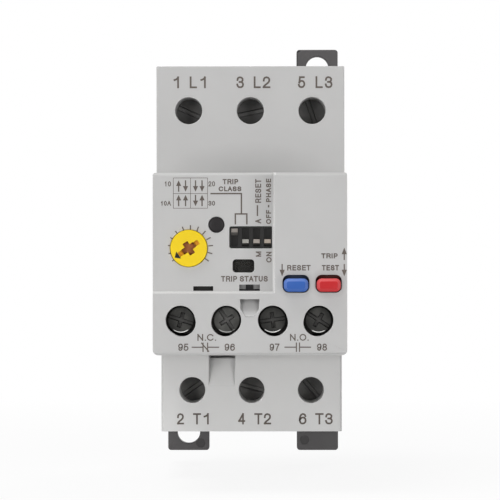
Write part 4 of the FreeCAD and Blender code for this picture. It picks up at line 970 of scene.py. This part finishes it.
def ribbons(lines, width, face):
    """Strokes of even width along point rows: a flat bar carried along each row, mitred at its bends.

    A row is cut where it turns sharply. The bar's section is a rectangle from just below the face to the
    film's top; its ends are squared off half a width further on, and each bar lies a hair above the last.
    """
    bars = []
    for line in lines:
        step = np.diff(line, axis=0)
        step /= np.linalg.norm(step, axis=1, keepdims=True)
        turning = (step[1:] * step[:-1]).sum(axis=1)
        cuts = [0, *(np.flatnonzero(turning < sharp_turn) + 1), len(line) - 1]
        bars += [line[first:last + 1].copy() for first, last in zip(cuts[:-1], cuts[1:])]
    points, faces, count = [], [], 0
    for number, bar in enumerate(bars):
        step = np.diff(bar, axis=0)
        step /= np.linalg.norm(step, axis=1, keepdims=True)
        closed = len(bar) > 2 and np.allclose(bar[0], bar[-1])
        before = np.vstack((step[-1:] if closed else step[:1], step))
        after = np.vstack((step, step[:1] if closed else step[-1:]))
        mitre = (before + after)[:, ::-1] * (-1, 1)
        square = before[:, ::-1] * (-1, 1)
        side = mitre / (mitre * square).sum(axis=1, keepdims=True) * width / 2
        if not closed:
            bar[0] -= step[0] * width / 2
            bar[-1] += step[-1] * width / 2
        ring = np.stack((bar + side, bar - side, bar - side, bar + side), axis=1)
        top = face - film - hair * (number % hair_steps)
        level = np.broadcast_to([top, top, face + sunk, face + sunk], ring.shape[:2])
        points.append(np.stack((ring[..., 0], level, ring[..., 1]), axis=-1).reshape(-1, 3))
        index = count + np.arange(len(bar) * 4).reshape(-1, 4)
        index = np.column_stack((index, index[:, :1]))
        quads = np.stack((index[:-1, :-1], index[1:, :-1], index[1:, 1:], index[:-1, 1:]), axis=-1)
        faces += quads.reshape(-1, 4).tolist()
        if not closed:
            faces += [index[0, :4].tolist(), index[-1, :4][::-1].tolist()]
        count += len(bar) * 4
    return np.concatenate(points), faces


def worded(rows, stroke, face):
    """All the words of one face with strokes of one width, as one set of ribbons."""
    lines = [line for text, *box in rows for line in word(text, stroke, *box)]
    return ribbons(lines, stroke, face)


def ruled(rows, stroke, face):
    """Straight strokes (x0, z0, x1, z1) of one width, as one set of ribbons."""
    return ribbons(np.array(rows, dtype=float).reshape(-1, 2, 2), stroke, face)


def raised(outlines, face):
    """Flat shapes (count, corners, 2) in x and z as prisms, with corners above the face and below it."""
    count, corners = outlines.shape[:2]
    points = np.empty((count, 2 * corners, 3))
    points[:, :, 0::2] = np.tile(outlines, (1, 2, 1))
    points[:, :corners, 1] = face - film
    points[:, corners:, 1] = face + sunk
    step = np.arange(corners)
    start = (np.arange(count) * 2 * corners)[:, None]
    after = np.roll(step, -1)
    sides = np.stack((step, step + corners, after + corners, after), axis=-1)
    faces = (start + step).tolist() + (start + corners + step[::-1]).tolist()
    faces += (start[:, :, None] + sides).reshape(-1, 4).tolist()
    return points.reshape(-1, 3), faces


def arrows(rows, face, head_width, head_length, stem):
    """Upright arrows (x, tail z, tip z): a triangle at the tip and a stem from its foot to the tail."""
    x, tail, tip = np.asarray(rows, dtype=float).T
    way = np.sign(tip - tail)
    foot = tip - way * head_length
    across = np.stack((x - head_width / 2, x + head_width / 2, x), axis=-1)
    heads = np.stack((across, np.stack((foot, foot, tip), axis=-1)), axis=-1)
    stems = np.stack((x, tail + way * stem / 2, x, foot - way * stem / 4), axis=-1)
    return [raised(heads, face), ruled(stems, stem, face)]


def printed(name, shapes, material, body):
    """One printed film from several sets of points in mm and faces."""
    starts = np.cumsum([0] + [len(points) for points, _ in shapes])
    faces = [[corner + start for corner in face] for start, (_, rows) in zip(starts, shapes) for face in rows]
    mesh = bpy.data.meshes.new(name)
    mesh.from_pydata((np.concatenate([points for points, _ in shapes]) / 1000).tolist(), [], faces)
    tidied(mesh)
    return placed(mesh, material, body)


line_words = [("1", -18.23, -16.95), ("L", -14.40, -12.68), ("1", -11.86, -10.58), ("3", -3.31, -1.51),
              ("L", 0.80, 2.45), ("2", 2.93, 4.76), ("5", 11.29, 13.04), ("L", 15.47, 17.20),
              ("3", 17.68, 19.50)]
load_words = [("2", -18.44, -16.71), ("T", -14.48, -12.52), ("1", -11.86, -10.58), ("4", -3.31, -1.60),
              ("T", 0.67, 2.68), ("2", 3.02, 4.82), ("6", 11.67, 13.57), ("T", 15.72, 17.78),
              ("3", 18.16, 20.06)]
for name, words, low, high, face in (("line_numbers", line_words, 38.48, 41.28, line_face),
                                     ("load_numbers", load_words, -43.06, -40.29, load_face)):
    printed(name, [worded([(*row, low, high) for row in words], big_stroke, face)], ink, "root")

cover_words = [("N.C.", -12.15, -7.85, -20.91, -19.34), ("95", -16.60, -14.22, -23.22, -21.56),
               ("96", -5.87, -3.49, -23.22, -21.56), ("N.O.", 9.25, 13.55, -20.91, -19.34),
               ("97", 4.54, 6.82, -23.22, -21.56), ("98", 15.49, 17.80, -23.22, -21.56),
               ("RESET", 8.62, 14.03, -4.68, -3.41), ("TEST", 16.62, 20.59, -4.68, -3.41),
               ("TRIP", 16.50, 20.29, -1.89, -0.71)]
contact_z, bar_low, bar_high = -22.40, -23.35, -21.45
contact_lines = [(-13.35, contact_z, -10.85, contact_z), (-9.80, contact_z, -7.25, contact_z),
                 (-10.85, bar_low, -10.85, bar_high), (-9.80, bar_low, -9.80, bar_high),
                 (-11.20, bar_high, -9.55, bar_low),
                 (8.10, contact_z, 10.72, contact_z), (11.45, contact_z, 13.98, contact_z),
                 (10.72, bar_low, 10.72, bar_high), (11.45, bar_low, 11.45, bar_high)]
button_arrows = [(7.45, -3.17, -6.05), (21.80, -2.26, 0.62), (21.80, -3.19, -6.06)]
cover_legends = [worded(cover_words, small_stroke, cover_face),
                 ruled(contact_lines, small_stroke, cover_face)]
cover_legends += arrows(button_arrows, cover_face, head_width=1.22, head_length=1.55, stem=0.28)
printed("cover_legends", cover_legends, ink, "root")

class_words = [("10", -19.71, -18.26, 14.80, 15.99), ("20", -9.59, -8.06, 14.80, 15.99),
               ("10A", -20.58, -18.26, 10.35, 11.45), ("30", -9.60, -8.06, 10.35, 11.45)]
panel_words = [("TRIP", -6.31, -2.70, 15.28, 16.51), ("CLASS", -7.19, -1.96, 13.66, 14.80),
               ("RESET", 1.24, 2.62, 10.99, 16.50, True), ("A", 1.24, 2.62, 6.20, 7.27, True),
               ("PHASE", 3.74, 4.91, 11.17, 16.59, True), ("OFF", 3.74, 4.91, 6.08, 9.32, True),
               ("M", 1.36, 2.63, -1.48, -0.28, True), ("ON", 3.77, 5.02, -2.83, -0.35, True),
               ("TRIP STATUS", -6.70, 4.13, -7.25, -5.94)]
panel_lines = [(-8.97, 13.13, -1.96, 13.13), (-1.96, 13.13, -1.96, 8.42), (-3.37, 8.42, -0.71, 8.42),
               (-3.37, 8.42, -3.37, 6.15), (-0.71, 8.42, -0.71, 6.15), (1.75, 8.10, 1.75, 10.27),
               (4.33, 10.09, 4.33, 10.33)]
frame_lines = [(-17.72, 9.75, -9.79, 9.75), (-17.72, 13.14, -9.79, 13.14), (-17.72, 16.76, -9.79, 16.76),
               (-17.72, 9.75, -17.72, 16.76), (-13.74, 9.75, -13.74, 16.76), (-9.79, 9.75, -9.79, 16.76)]
high_tail, high_tip, low_tail, low_tip = 13.58, 16.22, 10.22, 12.86
class_arrows = [(-16.49, high_tail, high_tip), (-14.89, high_tip, high_tail), (-12.58, high_tip, high_tail),
                (-11.07, high_tip, high_tail), (-16.49, low_tail, low_tip), (-14.89, low_tail, low_tip),
                (-12.58, low_tip, low_tail), (-11.07, low_tail, low_tip)]
dial_middle = dial_axis[[0, 2]]
tick_middle, tick_end, tick_least, dial_clear = np.array([-13.77, 0.58]), 5.12, 4.3, 4.40
tick_first, tick_last, tick_count = 216, -36, 13
tick_angle = np.radians(np.linspace(tick_first, tick_last, tick_count))
tick_way = np.stack((np.cos(tick_angle), np.sin(tick_angle)), axis=-1)
offset = tick_middle - dial_middle
lead = tick_way @ offset
tick_start = np.maximum(np.sqrt(lead ** 2 - offset @ offset + dial_clear ** 2) - lead, tick_least)
ticks = np.hstack((tick_middle + tick_start[:, None] * tick_way, tick_middle + tick_end * tick_way))
panel_legends = [worded(panel_words, small_stroke, panel_face),
                 worded(class_words, class_stroke, panel_face),
                 ruled(panel_lines, line_stroke, panel_face), ruled(frame_lines, thin_stroke, panel_face),
                 ruled(ticks, tick_stroke, panel_face)]
panel_legends += arrows(class_arrows, panel_face, head_width=1.2, head_length=1.3, stem=0.30)
printed("panel_legends", panel_legends, ink, "root")

arrow_turn, arrow_tip, arrow_foot, arrow_half = radians(213.6), 3.89, 2.79, 0.99
arrow_way = np.array([np.cos(arrow_turn), np.sin(arrow_turn)])
arrow_side = np.array([-arrow_way[1], arrow_way[0]])
arrow_head = dial_middle + np.array([arrow_tip * arrow_way,
                                     arrow_foot * arrow_way + arrow_half * arrow_side,
                                     arrow_foot * arrow_way - arrow_half * arrow_side])
printed("dial_arrow", [raised(arrow_head[None], dial_face)], black_ink, "dial")


# Floor, light and camera: a white sweep under an overhead soft box, with fills from the sides and behind.
# The floor glows white to the camera away from the object, keeps a pale shadow near it and is clear from
# below. It lies low enough for the rail latch to be pulled down.

floor_level, floor_half = -0.0565, 3
shadow_near, shadow_far, shadow_glow = 0.08, 0.30, 0.90
sky_strength = 0.16


def seen_directly(tree):
    """A mask that is 1 where the camera sees a surface straight, by a reflection or through glass."""
    path = tree.nodes.new("ShaderNodeLightPath")
    seen = larger(tree, path.outputs["Is Camera Ray"], path.outputs["Is Glossy Ray"])
    return larger(tree, seen, path.outputs["Is Transmission Ray"])


floor_corners = [(-floor_half, -floor_half, floor_level), (floor_half, -floor_half, floor_level),
                 (floor_half, floor_half, floor_level), (-floor_half, floor_half, floor_level)]
floor_mesh = bpy.data.meshes.new("floor")
floor_mesh.from_pydata(floor_corners, [], [(0, 1, 2, 3)])
floor = bpy.data.objects.new("floor", floor_mesh)
bpy.context.scene.collection.objects.link(floor)
paper, paper_tree, paper_shader = new_material("white floor")
paper_shader.inputs["Base Color"].default_value = (0.88, 0.88, 0.88, 1)
paper_shader.inputs["Roughness"].default_value = 0.9
paper_shader.inputs["Specular IOR Level"].default_value = 0.1
glow = paper_tree.nodes.new("ShaderNodeEmission")
paper_reach = paper_tree.nodes.new("ShaderNodeVectorMath")
paper_reach.operation = "LENGTH"
paper_tree.links.new(model_place(paper_tree), paper_reach.inputs[0])
paper_far = ranged(paper_tree, paper_reach.outputs["Value"], shadow_near, shadow_far, shadow_glow, 1.0)
paper_mix = paper_tree.nodes.new("ShaderNodeMixShader")
paper_tree.links.new(product(paper_tree, seen_directly(paper_tree), paper_far), paper_mix.inputs["Fac"])
paper_tree.links.new(paper_shader.outputs[0], paper_mix.inputs[1])
paper_tree.links.new(glow.outputs[0], paper_mix.inputs[2])
paper_side = paper_tree.nodes.new("ShaderNodeNewGeometry")
paper_clear = paper_tree.nodes.new("ShaderNodeBsdfTransparent")
paper_back = paper_tree.nodes.new("ShaderNodeMixShader")
paper_tree.links.new(paper_side.outputs["Backfacing"], paper_back.inputs["Fac"])
paper_tree.links.new(paper_mix.outputs[0], paper_back.inputs[1])
paper_tree.links.new(paper_clear.outputs[0], paper_back.inputs[2])
paper_tree.links.new(paper_back.outputs[0], paper_tree.nodes["Material Output"].inputs["Surface"])
floor_mesh.materials.append(paper)

world = bpy.data.worlds.new("studio")
bpy.context.scene.world = world
world.use_nodes = True
sky = world.node_tree.nodes["Background"]
sky.inputs["Color"].default_value = (1, 1, 1, 1)
sky_seen = ranged(world.node_tree, seen_directly(world.node_tree), 0.0, 1.0, sky_strength, 1.0)
world.node_tree.links.new(sky_seen, sky.inputs["Strength"])

lamps = (("overhead lamp", (-0.25, -0.25, 0.95), (12, 0, -50), (0.5, 0.5), 6.4),
         ("left fill", (-0.70, -1.39, 0.03), (89, 0, -28), (0.5, 0.12), 6.9),
         ("right fill", (0.70, -1.39, 0.03), (89, 0, 28), (0.5, 0.12), 5.8),
         ("rear fill", (0.60, 1.10, 0.50), (67, 0, 151), (0.5, 0.5), 5.0))
for name, place, turn, size, power in lamps:
    lamp = bpy.data.lights.new(name, "AREA")
    lamp.shape = "RECTANGLE"
    lamp.size, lamp.size_y = size
    lamp.energy = power
    holder = bpy.data.objects.new(name, lamp)
    holder.location = place
    holder.rotation_euler = [radians(angle) for angle in turn]
    bpy.context.scene.collection.objects.link(holder)

lens = bpy.data.cameras.new("camera")
lens.lens = 182.556
lens.sensor_width = 36
lens.clip_start = 0.01
camera = bpy.data.objects.new("camera", lens)
camera.location = (0.00551, -0.67453, 0.00056)
camera.rotation_euler = (radians(89.952), radians(0.058), radians(0.536))
bpy.context.scene.collection.objects.link(camera)
bpy.context.scene.camera = camera
bpy.context.scene.view_settings.view_transform = "Standard"
